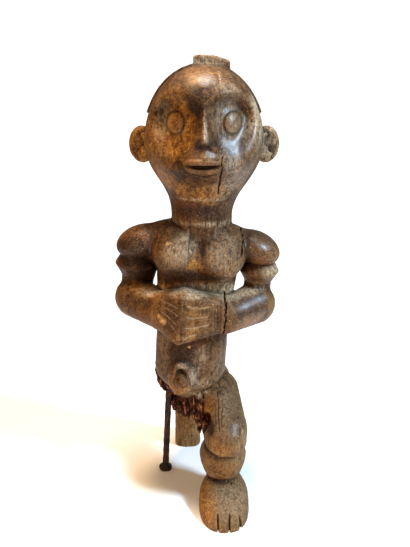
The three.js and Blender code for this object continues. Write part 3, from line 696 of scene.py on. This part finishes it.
def hollowness(mesh, rounds):
    """How far each place lies below its surroundings, in millimetres; places that stand out are below 0."""
    points = read(mesh.vertices, "co", 3) / MM
    moved = neighbours_mean(points, read(mesh.edges, "vertices", 2, np.int32), rounds)
    return ((moved - points) * read(mesh.vertices, "normal", 3)).sum(axis=1)


def carver_points(mesh):
    return read(mesh.vertices, "co", 3) / MM + [*FOOTPRINT, 0]


def zone_mask(points, zones):
    """How much each point is in any of the zones."""
    clear = np.ones(len(points))
    for x, y, z, half_x, half_y, half_z, strength in zones:
        reach = np.sqrt((((points - (x, y, z)) / (half_x, half_y, half_z)) ** 2).sum(axis=1))
        clear *= 1 - strength * (1 - smoothstep(reach, *ZONE_EDGE))
    return 1 - clear


def write_attribute(mesh, name, values):
    attribute = mesh.attributes.new(name, "FLOAT", "POINT")
    attribute.data.foreach_set("value", np.clip(values, 0, 1).astype(np.float32))


# Where the finish changes: soft ellipsoids in the carver's frame. Each is its middle (x, y, z), its three
# half sizes, and how strongly it tells. Its edge runs between two shares of its half sizes.
ZONE_EDGE = (0.4, 1.2)
ZONES = dict(
    # Ochre wood, and painted warm light: most of these places are on the left, where the warm lamp falls,
    # and one is the yellow highlight on the crown.
    ochre=(
        (-24, -38, 360, 24, 18, 34, 1), (-5, -56, 345, 16, 12, 20, 0.3), (-2, -30, 404, 20, 18, 14, 0.6),
        (-10, -34, 306, 30, 16, 16, 0.7), (-34, -24, 322, 16, 20, 16, 0.5), (-50, -22, 212, 28, 24, 7, 1),
        (-46, -22, 350, 12, 14, 26, 0.8), (-50, -38, 198, 28, 18, 16, 0.45), (-9, -35, 234, 9, 10, 18, 0.8),
        (-24, -48, 118, 16, 14, 14, 0.5), (14, -68, 72, 15, 14, 12, 0.5), (1, -72, 12, 12, 30, 20, 0.8),
        (12, -60, 42, 22, 16, 12, 0.5), (4, -34, 95, 9, 16, 24, 0.9), (45, -34, 184, 26, 16, 9, 0.45),
        (-20, -56, 192, 24, 16, 24, 0.45), (-62, 0, 345, 16, 16, 22, 1), (-20, 50, 45, 18, 20, 60, 0.5),
    ),
    # Red-brown wood; under the nose and under the breasts the red-brown is painted shade.
    red=(
        (-62, -14, 250, 26, 24, 22, 0.9), (-50, -26, 190, 26, 24, 14, 0.5), (-72, -10, 232, 12, 16, 12, 0.6),
        (-8, -32, 228, 32, 14, 10, 0.8), (-18, -24, 292, 20, 18, 14, 0.8), (-20, -52, 130, 7, 10, 8, 0.9),
        (50, -14, 238, 16, 14, 14, 0.6), (-14, -34, 164, 22, 12, 16, 0.5), (20, -70, 80, 14, 12, 9, 0.4),
        (-1, -54, 347, 14, 9, 5, 0.8), (-24, -40, 365, 10, 8, 11, 0.5),
    ),
    # Pale dust, and painted highlight: the pale places on the right brow, the right cheek and temple and the
    # breasts stand for the window's cool sheen.
    dust=(
        (-17, -33, 260, 13, 12, 20, 0.85), (-2, -2, 276, 38, 38, 3, 0.7), (18, -32, 262, 16, 14, 16, 0.45),
        (26, -32, 232, 16, 14, 22, 0.5), (20, -36, 366, 20, 14, 24, 0.5), (23, -42, 331, 12, 12, 9, 0.9),
        (18, -36, 392, 14, 12, 6, 0.6), (-5, -18, 100, 16, 14, 8, 0.9), (40, -20, 355, 12, 18, 34, 0.5),
        (-6, -42, 219, 32, 20, 6, 1), (34, -26, 214, 40, 22, 6, 1), (-10, -44, 132, 7, 14, 12, 0.8),
        (-2, -38, 116, 24, 16, 12, 1), (20, -26, 126, 16, 20, 28, 0.35), (-38, -26, 150, 8, 18, 30, 0.3),
        (14, -40, 102, 16, 26, 20, 0.55), (22, -76, 18, 24, 30, 13, 0.6), (-1, -56, 340.5, 12, 7, 2.5, 0.8),
        (60, 0, 345, 18, 18, 24, 0.7), (26, -30, 318, 16, 16, 14, 0.5), (44, -18, 368, 10, 15, 30, 0.75),
        (16, -38, 306, 16, 14, 14, 0.7), (-6, -34, 150, 10, 10, 16, 0.5), (-27, -36, 252, 15, 12, 13, 0.85),
        (9, -37, 247, 14, 12, 14, 0.8), (18, -30, 225, 12, 12, 8, 0.5), (-4, -30, 299.5, 26, 12, 2.5, 0.8),
        (62, -4, 224, 14, 18, 7, 0.9), (4, 10, 417, 26, 60, 8, 0.9),
    ),
    # Darker places: some are the wood's own darker patina. Most are painted shade under the nose, brow,
    # breasts, hands and knee, in the armpits, crevices and the channel between the breasts, and the painted
    # shadow of the nose on its root's left side.
    dark=(
        (-66, -18, 249, 20, 22, 17, 1), (-55, -31, 203, 26, 14, 9, 0.5), (-55, -5, 227, 15, 22, 17, 0.97),
        (56, -4, 263, 24, 24, 10, 0.55), (0, -58, 349, 17, 9, 6, 1), (-18, -26, 288, 20, 14, 13, 0.3),
        (44, -22, 190, 24, 20, 8, 0.3), (13, -62, 60, 22, 14, 4, 0.95), (14, -58, 28, 20, 14, 3.4, 0.75),
        (30, -56, 92, 12, 14, 18, 0.45), (-9, -43, 382, 9, 12, 14, 0.85), (-4, -48, 378, 5, 10, 13, 0.8),
        (18, -38, 384, 16, 8, 4, 0.4), (-8, -30, 228, 36, 12, 6, 0.9), (-22, -34, 153, 19, 12, 15, 0.75),
        (33, -29, 247, 8, 12, 18, 0.55), (12, -58, 44, 16, 14, 10, 0.35), (-26, -54, 196, 16, 12, 20, 0.6),
        (-23, -46, 141, 5, 8, 5, 0.95), (48, 0, 228, 8, 20, 16, 0.9), (-6, -24, 288, 28, 20, 7, 0.5),
        (0, -53, 62, 9, 12, 5, 1), (5, -56, 86, 6, 14, 8, 0.85), (4, -44, 80, 7, 10, 8, 1),
        (-2, -34, 258, 5, 9, 17, 0.9), (-24, -30, 231, 20, 14, 9, 1), (-70, -8, 230, 18, 22, 13, 0.6),
        (-30, -30, 272, 16, 10, 5, 0.6), (15, -24, 107, 5, 8, 4, 0.6),
    ),
    # Caked pale dust, and painted light: the pale places on the nose's ridge, the right temple, the
    # forearms' tops and in the left hollow stand for highlight and lit wood.
    caked=(
        (32, -24, 210, 36, 22, 5, 0.9), (-43, -20, 211, 22, 18, 5, 0.75), (-35, -24, 364, 9, 12, 18, 0.6),
        (-5, -18, 100, 15, 12, 6, 0.5), (-10, -46, 218, 24, 16, 4.5, 0.7), (62, -6, 227, 14, 18, 5.5, 0.6),
        (-2, -2, 275.5, 38, 38, 1.8, 0.6), (60, 0, 345, 18, 18, 24, 0.25), (6, 10, 418, 26, 60, 7, 0.45),
        (0, -60, 362, 4, 8, 16, 0.6), (44, -16, 368, 7, 18, 28, 0.5), (-22, -46, 144, 10, 9, 3, 0.8),
        (-9, -44, 136, 5, 8, 12, 0.5), (-4, -28, 299.5, 24, 12, 1.4, 0.6),
    ),
    gloss=(
        (28, -34, 350, 30, 18, 44, 1), (0, -25, 400, 30, 22, 22, 0.9), (-30, -32, 340, 24, 16, 40, 0.45),
        (54, -8, 258, 28, 22, 20, 1), (44, -28, 198, 30, 22, 20, 1), (10, -36, 246, 14, 10, 14, 0.9),
        (-27, -35, 248, 14, 10, 14, 0.9), (-62, -14, 250, 24, 20, 20, 0.5), (28, -62, 84, 18, 14, 14, 0.5),
        (-4, -58, 345, 16, 14, 20, 0.7),
    ),
    chip=(
        (-37.7, -51, 193, 3.6, 6, 3, 1), (-41.5, -48, 197, 2.4, 6, 1.6, 0.9),
        (-33.5, -32, 259.4, 3.6, 5, 1.1, 0.9), (-15.2, -35, 159.2, 2.2, 5, 1.3, 1),
        (-11, -36, 163, 1.4, 5, 1, 0.7), (35.5, -62, 86, 1.8, 5, 4.5, 0.6), (1, -72, 66, 2, 6, 2, 0.8),
    ),
)
UNBROKEN = ((-5, -19, 101, 16, 13, 6, 1),)  # the lowest edge of the belly, which is whole


# Colours along a noise: where each begins, then its red, green and blue.
TONES = Form(
    wood=(
        (0.41, 0.013, 0.006, 0.0035), (0.48, 0.042, 0.019, 0.008),
        (0.54, 0.105, 0.052, 0.022), (0.62, 0.26, 0.145, 0.062),
    ),
    weathered=((0.4, 0.04, 0.02, 0.009), (0.5, 0.125, 0.07, 0.03), (0.6, 0.26, 0.165, 0.08)),
    # dust: the colour of pale dust and of painted highlight
    dust=((0.42, 0.12, 0.078, 0.046), (0.52, 0.24, 0.172, 0.105), (0.62, 0.44, 0.35, 0.24)),
    # ochre: the colour of ochre wood and of painted warm light
    ochre=((0.38, 0.085, 0.027, 0.005), (0.5, 0.25, 0.1, 0.018), (0.62, 0.52, 0.27, 0.065)),
    # red: the colour of red-brown wood and of painted shade
    red=((0.38, 0.03, 0.008, 0.003), (0.62, 0.12, 0.04, 0.012)),
    # dark: the colour of darker patina and of painted shade
    dark=((0.4, 0.009, 0.004, 0.003), (0.62, 0.05, 0.025, 0.013)),
    raw=(
        (0.42, 0.01, 0.004, 0.003), (0.51, 0.045, 0.013, 0.007),
        (0.59, 0.12, 0.038, 0.018), (0.68, 0.42, 0.22, 0.1),
    ),
    iron=(
        (0.36, 0.004, 0.002, 0.0015), (0.48, 0.014, 0.0055, 0.003),
        (0.58, 0.038, 0.013, 0.0055), (0.68, 0.1, 0.036, 0.014),
    ),
)
TINTS = Form(
    hair=(0.03, 0.015, 0.008),
    # caked: the colours of caked dust and of painted light
    caked=((0.24, 0.165, 0.095), (0.52, 0.4, 0.26)),
    # crease: the colour of the painted shade in creases and hollows
    crease=(0.014, 0.007, 0.004),
    edge=(0.3, 0.15, 0.055),
    pit=(0.016, 0.008, 0.004),
    speck=(0.6, 0.42, 0.2),
    dust_line=(0.42, 0.28, 0.15),
    chip=(0.62, 0.36, 0.15),
    # gap: the colour of the painted shade in cracks and slits
    gap=(0.012, 0.006, 0.004),
    rust=(0.2, 0.09, 0.038),
    # the colour of the painted shade in the nail's hollows
    rusted_crease=(0.012, 0.007, 0.006),
    paper=((0.9, 0.9, 0.9), (0.92, 0.915, 0.905)),
)
# How a noise makes a mask uneven: from and to which value, and how much of the mask is left at each.
UNEVEN = dict(
    dust=(0.42, 0.53, 0.25, 0.95),
    ochre=(0.4, 0.55, 0.35, 1),
    caked=(0.4, 0.54, 0.3, 1),
    edge=(0.42, 0.58, 0.2, 0.9),
    dust_line=(0.36, 0.5, 0.4, 1),
    chip=(0.36, 0.5, 0.5, 1),
    gloss=(0.4, 0.6, 0.8, 0.45),
)
# How strongly a whole layer tells.
# The dark layer's strength is for darker patina and painted shade; the crease layers' strengths are for
# painted shade in hollows.
STRENGTH = Form(weathered=0.9, hair=0.55, crease=0.8, edge=0.4, speck=0.45, rusted_crease=0.7, soot=0.7)
ROUGHNESS = Form(wood=0.47, dust=0.28, rough_wood=0.2, gloss=-0.15, broken=0.35, limits=(0.24, 0.95))


class Nodes:
    """Shorthand for a node tree. A socket, a number or a colour goes wherever a value is asked for."""

    def __init__(self, owner):
        self.nodes = owner.node_tree.nodes
        self.links = owner.node_tree.links

    def put(self, socket, value):
        if isinstance(value, bpy.types.NodeSocket):
            self.links.new(value, socket)
        elif socket.type == "RGBA":
            socket.default_value = (*value, 1)
        else:
            socket.default_value = value

    def made(self, kind, inputs=None, **settings):
        node = self.nodes.new("ShaderNode" + kind)
        for name, value in settings.items():
            setattr(node, name, value)
        for name, value in (inputs or {}).items():
            self.put(node.inputs[name], value)
        return node

    def mix(self, share, a, b):
        return self.made("Mix", {"Factor": share, 6: a, 7: b}, data_type="RGBA").outputs[2]


class Graph(Nodes):
    """A material's nodes."""

    def __init__(self, name):
        self.material = bpy.data.materials.new(name)
        self.material.use_nodes = True
        super().__init__(self.material)
        self.where = self.made("TexCoord").outputs["Object"]

    def scaled(self, stretch):
        return self.made("VectorMath", {0: self.where, 1: stretch}, operation="MULTIPLY").outputs[0]

    def noise(self, scale, detail=4, roughness=0.55, stretch=(1, 1, 1), distortion=0):
        form = {"Scale": scale, "Detail": detail, "Roughness": roughness, "Distortion": distortion}
        return self.made("TexNoise", {"Vector": self.scaled(stretch), **form}).outputs["Fac"]

    def cells(self, scale):
        inputs = {"Vector": self.where, "Scale": scale}
        return self.made("TexVoronoi", inputs).outputs["Distance"]

    def attribute(self, name):
        return self.made("Attribute", attribute_name=name).outputs["Fac"]

    def ease(self, value, low, high, to_low=0.0, to_high=1.0):
        inputs = {"Value": value, "From Min": low, "From Max": high, "To Min": to_low, "To Max": to_high}
        return self.made("MapRange", inputs, interpolation_type="SMOOTHSTEP").outputs["Result"]

    def patchy(self, name, noise):
        """A mask whose soft edge is broken up by noise, as wear and dirt are."""
        return self.ease(self.math("ADD", self.attribute(name), noise), 0.6, 1.4)

    def uneven(self, name, noise):
        return self.times(self.attribute(name), self.ease(noise, *UNEVEN[name]))

    def math(self, operation, a, b):
        return self.made("Math", {0: a, 1: b}, operation=operation).outputs[0]

    def times(self, *values):
        return functools.reduce(functools.partial(self.math, "MULTIPLY"), values)

    def blend(self, *parts):
        """The sum of values, each taken as many times as its share says."""
        return functools.reduce(functools.partial(self.math, "ADD"), [self.times(*part) for part in parts])

    def ramp(self, value, stops):
        node = self.made("ValToRGB", {"Fac": value})
        elements = node.color_ramp.elements
        elements[0].position, elements[1].position = stops[0][0], stops[-1][0]
        for place, *_ in stops[1:-1]:
            elements.new(place)
        for element, (_, *colour) in zip(elements, stops):
            element.color = (*colour, 1)
        return node.outputs["Color"]

    def bump(self, height, distance, strength=1.0, **under):
        inputs = {"Height": height, "Distance": distance, "Strength": strength, **under}
        return self.made("Bump", inputs).outputs["Normal"]

    def finished(self, sockets):
        for name, value in sockets.items():
            self.put(self.nodes["Principled BSDF"].inputs[name], value)
        return self.material


def wood_material():
    g = Graph("oiled_wood")
    blotch = g.noise(38, 4, 0.62, distortion=0.6)
    mottle = g.noise(230, 5, 0.7)
    fine = g.noise(620, 4, 0.7)
    grain = g.noise(1, 5, 0.62, (760, 760, 30))
    streak = g.noise(1, 4, 0.6, (210, 210, 14), 0.6)
    dashes = g.noise(1, 5, 0.7, (520, 520, 120), 0.4)
    splinters = g.noise(1, 4, 0.6, (330, 330, 130))
    tone = g.blend((blotch, 0.3), (mottle, 0.25), (streak, 0.2), (fine, 0.25))
    settled = g.blend((dashes, 0.5), (mottle, 0.3), (fine, 0.2))
    ragged = g.ease(g.blend((mottle, 0.6), (blotch, 0.4)), 0.4, 0.6, 0.25, 0.75)
    dust, gloss, rough_wood, raw, chip, gap, crease, hair = [
        g.attribute(name) for name in ("dust", "gloss", "rough_wood", "raw", "chip", "gap", "crease", "hair")
    ]
    # The dark layer: darker patina and painted shade. Where it darkens, the coat and the rubbed edges tell
    # less.
    soot = g.patchy("dark", ragged)
    undarkened = g.math("SUBTRACT", 1, g.times(soot, STRENGTH.soot))
    pits = g.times(g.ease(dashes, 0.34, 0.42, 1, 0), g.ease(mottle, 0.42, 0.58, 0.6, 0.15))
    specks = g.times(g.ease(g.cells(260), 0.08, 0.18, 1, 0), g.ease(mottle, 0.5, 0.56))
    colour = g.ramp(tone, TONES.wood)
    bleached = g.ramp(g.blend((tone, 0.6), (grain, 0.4)), TONES.weathered)
    layers = (
        (g.times(rough_wood, STRENGTH.weathered), bleached),
        # pale dust, and painted highlight on the right of the face and on the breasts
        (g.uneven("dust", settled), g.ramp(settled, TONES.dust)),
        # ochre wood, and painted warm light on the left
        (g.uneven("ochre", tone), g.ramp(g.blend((mottle, 0.6), (fine, 0.4)), TONES.ochre)),
        # red-brown wood, and painted shade under the nose and breasts
        (g.patchy("red", ragged), g.ramp(fine, TONES.red)),
        # darker patina and painted shade
        (soot, g.ramp(fine, TONES.dark)),
        (g.times(hair, STRENGTH.hair), TINTS.hair),
        # caked dust, and painted light and highlight
        (g.uneven("caked", settled), g.mix(g.ease(settled, 0.44, 0.58), *TINTS.caked)),
        # painted shade in creases, hollows and round the eyes
        (g.times(crease, STRENGTH.crease), TINTS.crease),
        (g.times(g.uneven("edge", fine), undarkened, STRENGTH.edge), TINTS.edge),
        (pits, TINTS.pit),
        (g.times(specks, STRENGTH.speck), TINTS.speck),
        (g.uneven("dust_line", fine), TINTS.dust_line),
        (raw, g.ramp(splinters, TONES.raw)),
        (g.uneven("chip", fine), TINTS.chip),
        # painted shade in cracks and slits
        (gap, TINTS.gap),
    )
    for share, tint in layers:
        colour = g.mix(share, colour, tint)

    dull = g.blend(
        (dust, ROUGHNESS.dust),
        (rough_wood, ROUGHNESS.rough_wood),
        (gloss, ROUGHNESS.gloss),
        (g.ease(mottle, 0.4, 0.6, -0.07, 0.12),),
        (g.math("MAXIMUM", raw, chip), ROUGHNESS.broken),
    )
    smoothest, roughest = ROUGHNESS.limits
    dull = g.math("MAXIMUM", g.math("ADD", dull, ROUGHNESS.wood), smoothest)

    relief = g.bump(mottle, 0.0008, 0.5)
    relief = g.bump(g.times(grain, g.ease(rough_wood, 0, 1, 0.3, 1)), 0.0008, 0.6, Normal=relief)
    return g.finished({
        "Base Color": colour,
        "Roughness": g.math("MINIMUM", dull, roughest),
        "Specular IOR Level": 0.1,
        "Coat Weight": g.times(g.uneven("gloss", mottle), undarkened),
        "Coat Roughness": 0.38,
        "Normal": g.bump(fine, 0.0004, 0.45, Normal=relief),
    })


def iron_material():
    g = Graph("rusted_iron")
    scale = g.noise(300, 5, 0.65, (1, 1, 0.5))
    flake = g.noise(900, 3, 0.6)
    colour = g.mix(g.ease(flake, 0.55, 0.7, 0, 0.4), g.ramp(scale, TONES.iron), TINTS.rust)
    # Painted shade: the nail's hollows are darker.
    crease = g.times(g.attribute("crease"), STRENGTH.rusted_crease)
    return g.finished({
        "Base Color": g.mix(crease, colour, TINTS.rusted_crease),
        "Roughness": g.ease(scale, 0.35, 0.65, 0.6, 0.9),
        "Metallic": g.ease(scale, 0.34, 0.44, 0.5, 0),
        "Specular IOR Level": 0.25,
        "Normal": g.bump(flake, 0.0003, 0.6, Normal=g.bump(scale, 0.0008, 0.7)),
    })


def paper_material():
    g = Graph("white_paper")
    colour = g.mix(g.ease(g.noise(3, 2), 0.3, 0.7), *TINTS.paper)
    return g.finished({"Base Color": colour, "Roughness": 0.9, "Specular IOR Level": 0.1})


# Where the shape decides the masks. Depths and clearances are millimetres; a pair of values is for the head
# and for the rest.
HEAD_AREA = Form(z=320, ear=54, front=-20)
# Shade is painted into creases, wide hollows and a ring round each eye; these set how much.
CREASES = Form(rounds=4, depth=(0.06, 0.4), headDepth=0.16, share=(0.7, 0.85), earShare=0.4)
HOLLOWS = Form(rounds=40, depth=(0.8, 3.2), share=(0.1, 0.35))
EYE_RIM = Form(reach=1.02, edge=(0.02, 0.2), share=0.7)
EDGES = (0.08, 0.35)
GAPS = Form(crack=(0.4, 2), slit=(0.4, 1), lineShare=0.8)
HAIR_AREA = Form(clear=0.3, worn=(402, 412))
RAW_AREA = Form(reach=(3, 6), clear=(-1.5, 1))
ROUGH_WOOD_Z = (96, 128)
NAIL_CREASES = Form(rounds=3, depth=(0.02, 0.2))


def dress_wood(mesh):
    """Writes the masks that the wood's material reads."""
    points = carver_points(mesh)
    x, y, z = points.T
    side = x - HEAD_X
    for name, zones in ZONES.items():
        write_attribute(mesh, name, zone_mask(points, zones))
    near = hollowness(mesh, CREASES.rounds)
    on_head = z > HEAD_AREA.z
    in_front = y < HEAD_AREA.front
    # Painted shade, with some dirt: the deeper a place lies in a crease or a wide hollow, and the nearer it
    # is to an eye's rim, the darker it is painted.
    grime_and_shade = smoothstep(near - CREASES.headDepth * on_head, *CREASES.depth)
    settled = smoothstep(hollowness(mesh, HOLLOWS.rounds), *HOLLOWS.depth)
    rim = 1 - smoothstep(np.abs(eye_reach(side, z) - EYE_RIM.reach), *EYE_RIM.edge)
    grime_and_shade = grime_and_shade * np.where(on_head, *CREASES.share) + settled * np.where(on_head, *HOLLOWS.share)
    grime_and_shade = grime_and_shade + EYE_RIM.share * rim * in_front * on_head
    on_ear = on_head & (np.abs(x) > HEAD_AREA.ear)
    write_attribute(mesh, "crease", grime_and_shade * np.where(on_ear, CREASES.earShare, 1))
    write_attribute(mesh, "edge", smoothstep(-near, *EDGES))
    lines = [deepest_groove(x, y, z, (cut,)) / max(1, cut.depth) for cut in FINGER_CUTS]
    write_attribute(mesh, "dust_line", greatest(*lines))
    # Painted shade in the cracks, the mouth's slit, the line before each ear and the toes' slits.
    cracks = smoothstep(deepest_groove(x, y, z, CRACKS), *GAPS.crack)
    slit = disc(side, z - MOUTH.z, MOUTH.slit, GAPS.slit) * in_front
    seam = edge_groove(side, y, z) / EDGE_GROOVE.depth
    toes = toe_slits(x, y, z) / TOE_SLITS.depth * (z < TOES.top)
    write_attribute(mesh, "gap", greatest(cracks, slit, seam * GAPS.lineShare, toes * GAPS.lineShare))
    on_hair = (hair(side, y, z) < head(side, y, z) - HAIR_AREA.clear) * on_head
    write_attribute(mesh, "hair", on_hair * (1 - smoothstep(z, *HAIR_AREA.worn)))
    u, w = leaning(x, z)
    outer = np.minimum(hips(x, y, z), torso(u, y, w))
    raw = (1 - smoothstep(broken_forms(x, y, z), *RAW_AREA.reach)) * smoothstep(outer, *RAW_AREA.clear)
    write_attribute(mesh, "raw", raw * (1 - zone_mask(points, UNBROKEN)))
    write_attribute(mesh, "rough_wood", 1 - smoothstep(z, *ROUGH_WOOD_Z))


def nail_radius(height):
    """The nail's radius before it is hammered: under its rose head, up the head, then throat and shank."""
    form, top = ROSE_HEAD, NAIL.headHigh
    under = NAIL.head * lerp(*form.under, np.sqrt(height / form.lip))
    dome = NAIL.head * (1 - form.dome * ((height - form.lip) / (top - form.lip)) ** 2)
    throat = np.exp((top - height) / form.flare) * (NAIL.head * form.throat - NAIL.shank)
    taper = np.clip((NAIL.length - height) / NAIL.point, HAMMERED.tip, 1)
    return np.select([height < form.lip, height < top], [under, dome], NAIL.shank * taper + throat)


def forged_nail(material):
    """The nail: a rose head hammered in facets, and a squarish shank that tapers to its point."""
    form, top, lip = HAMMERED, NAIL.headHigh, ROSE_HEAD.lip
    sides = form.sides
    angle = np.arange(sides) / sides * 2 * math.pi
    u, v = np.cos(angle), np.sin(angle)
    height = np.concatenate([
        np.linspace(0, lip, 4, endpoint=False),
        np.linspace(lip, top, 8, endpoint=False),
        np.linspace(top, NAIL.length, form.rings),
    ])[:, None]
    shank = smoothstep(height, top, top + form.blend)
    square = 1 - form.square * shank * np.cos(4 * angle + 0.6)
    facet = 1 - form.facet * (1 - shank) * np.cos(5 * angle + 1)
    reach = nail_radius(height) * square * facet
    for pits in NAIL_PITS:
        around, along = pits.around, height / pits.along
        reach = reach + pits.depth * rough(u * around + pits.start, v * around, along)
    for bend in NAIL_BENDS:
        reach = reach + bend.depth * np.sin(height * bend.turn + bend.start)
    reach = np.minimum(reach, NAIL.head)
    rings = np.stack([u * reach, v * reach, height + 0 * reach], axis=2).reshape(-1, 3)
    x, y, z = np.concatenate([rings, [(0, 0, 0), (0, 0, NAIL.length)]]).T
    x, z = turn(x, z, NAIL.tilt)
    tilted = np.stack([x + NAIL.x, y + NAIL.y, np.maximum(z, 0)], axis=1)

    last, bottom = len(rings) - sides, np.full(sides, len(rings))
    a = np.arange(last).reshape(-1, sides)
    b = np.roll(a, -1, axis=1)
    walls = np.stack([a, b, b + sides, a, b + sides, a + sides], axis=2)
    ends = np.stack([b[0], a[0], bottom, last + a[0], last + b[0], bottom + 1], axis=1)
    faces = np.concatenate([walls.reshape(-1, 3), ends.reshape(-1, 3)])
    return mesh_object("forged_nail", tilted, faces, material)


points, faces = polygonize(carving)
figure = mesh_object("carved_wood", points, faces, wood_material())
thin(figure, CARVING_TRIANGLES)
dress_wood(figure.data)
figure.data.shade_smooth()
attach(figure, "root")
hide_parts("carved_figure")

nail = forged_nail(iron_material())
# The nail's hollows, where shade is painted.
nail_hollows = hollowness(nail.data, NAIL_CREASES.rounds)
write_attribute(nail.data, "crease", smoothstep(nail_hollows, *NAIL_CREASES.depth))
nail.data.shade_smooth()
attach(nail, "root")
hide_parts("iron_nail")

FLOOR = Form(radius=0.7, sides=96)
angles = np.linspace(0, 2 * math.pi, FLOOR.sides, endpoint=False)
ring = [(math.cos(a) * FLOOR.radius, math.sin(a) * FLOOR.radius, 0) for a in angles]
floor_mesh = bpy.data.meshes.new("floor")
floor_mesh.from_pydata(ring, [], [tuple(range(len(ring)))])
floor_mesh.materials.append(paper_material())
floor = placed("floor", floor_mesh)

# Camera: at the photograph's viewing angle, its focal length given in the photograph's pixels.
PHOTO_HEIGHT = 547
FOCAL_PIXELS = 600
CAMERA = Form(place=(0.0075, -0.5363, 0.4), down=math.radians(18))
camera_data = bpy.data.cameras.new("camera")
camera_data.sensor_fit = "VERTICAL"
camera_data.sensor_height = 24
camera_data.lens = FOCAL_PIXELS / PHOTO_HEIGHT * camera_data.sensor_height
camera = placed("camera", camera_data)
camera.location = CAMERA.place
camera.rotation_euler = (math.pi / 2 - CAMERA.down, 0, 0)
bpy.context.scene.camera = camera

# Lamps: place, size, power and colour.
LIGHTS = dict(
    window=((1.17, -0.58, 1.18), 0.3, 48, (0.58, 0.79, 1)),
    warm_lamp=((-0.24, 0.1, 1.5), 0.2, 14, (1, 0.66, 0.34)),
    cool_lamp=((0.06, 0.06, 1.5), 0.36, 14, (0.85, 0.92, 1)),
    warm_fill=((-0.5, -1, 0.5), 0.6, 7, (1, 0.66, 0.34)),
)
LIGHT_AIM = Vector((0, 0, 0.22))
for name, (place, size, power, colour) in LIGHTS.items():
    data = bpy.data.lights.new(name, "AREA")
    data.size = size
    data.energy = power
    data.color = colour
    lamp = placed(name, data)
    lamp.location = place
    lamp.rotation_euler = (LIGHT_AIM - Vector(place)).to_track_quat("-Z", "Y").to_euler()


ROOM = Form(left=(0.34, 0.23, 0.13), right=(0.2, 0.2, 0.21), backdrop=(1.3, 1.3, 1.3))


def studio_world():
    """A studio with a pure white backdrop. The room lights the figure softly, and warmer from the left."""
    world = bpy.data.worlds.new("studio")
    world.use_nodes = True
    tree = Nodes(world)
    direction = tree.made("SeparateXYZ", {0: tree.made("TexCoord").outputs["Generated"]})
    across = tree.made("MapRange", {"From Min": -1, "Value": direction.outputs["X"]}).outputs["Result"]
    room = tree.mix(across, ROOM.left, ROOM.right)
    seen = tree.made("LightPath").outputs["Is Camera Ray"]
    tree.put(tree.nodes["Background"].inputs["Color"], tree.mix(seen, room, ROOM.backdrop))
    return world


bpy.context.scene.world = studio_world()
bpy.context.scene.view_settings.view_transform = "Standard"
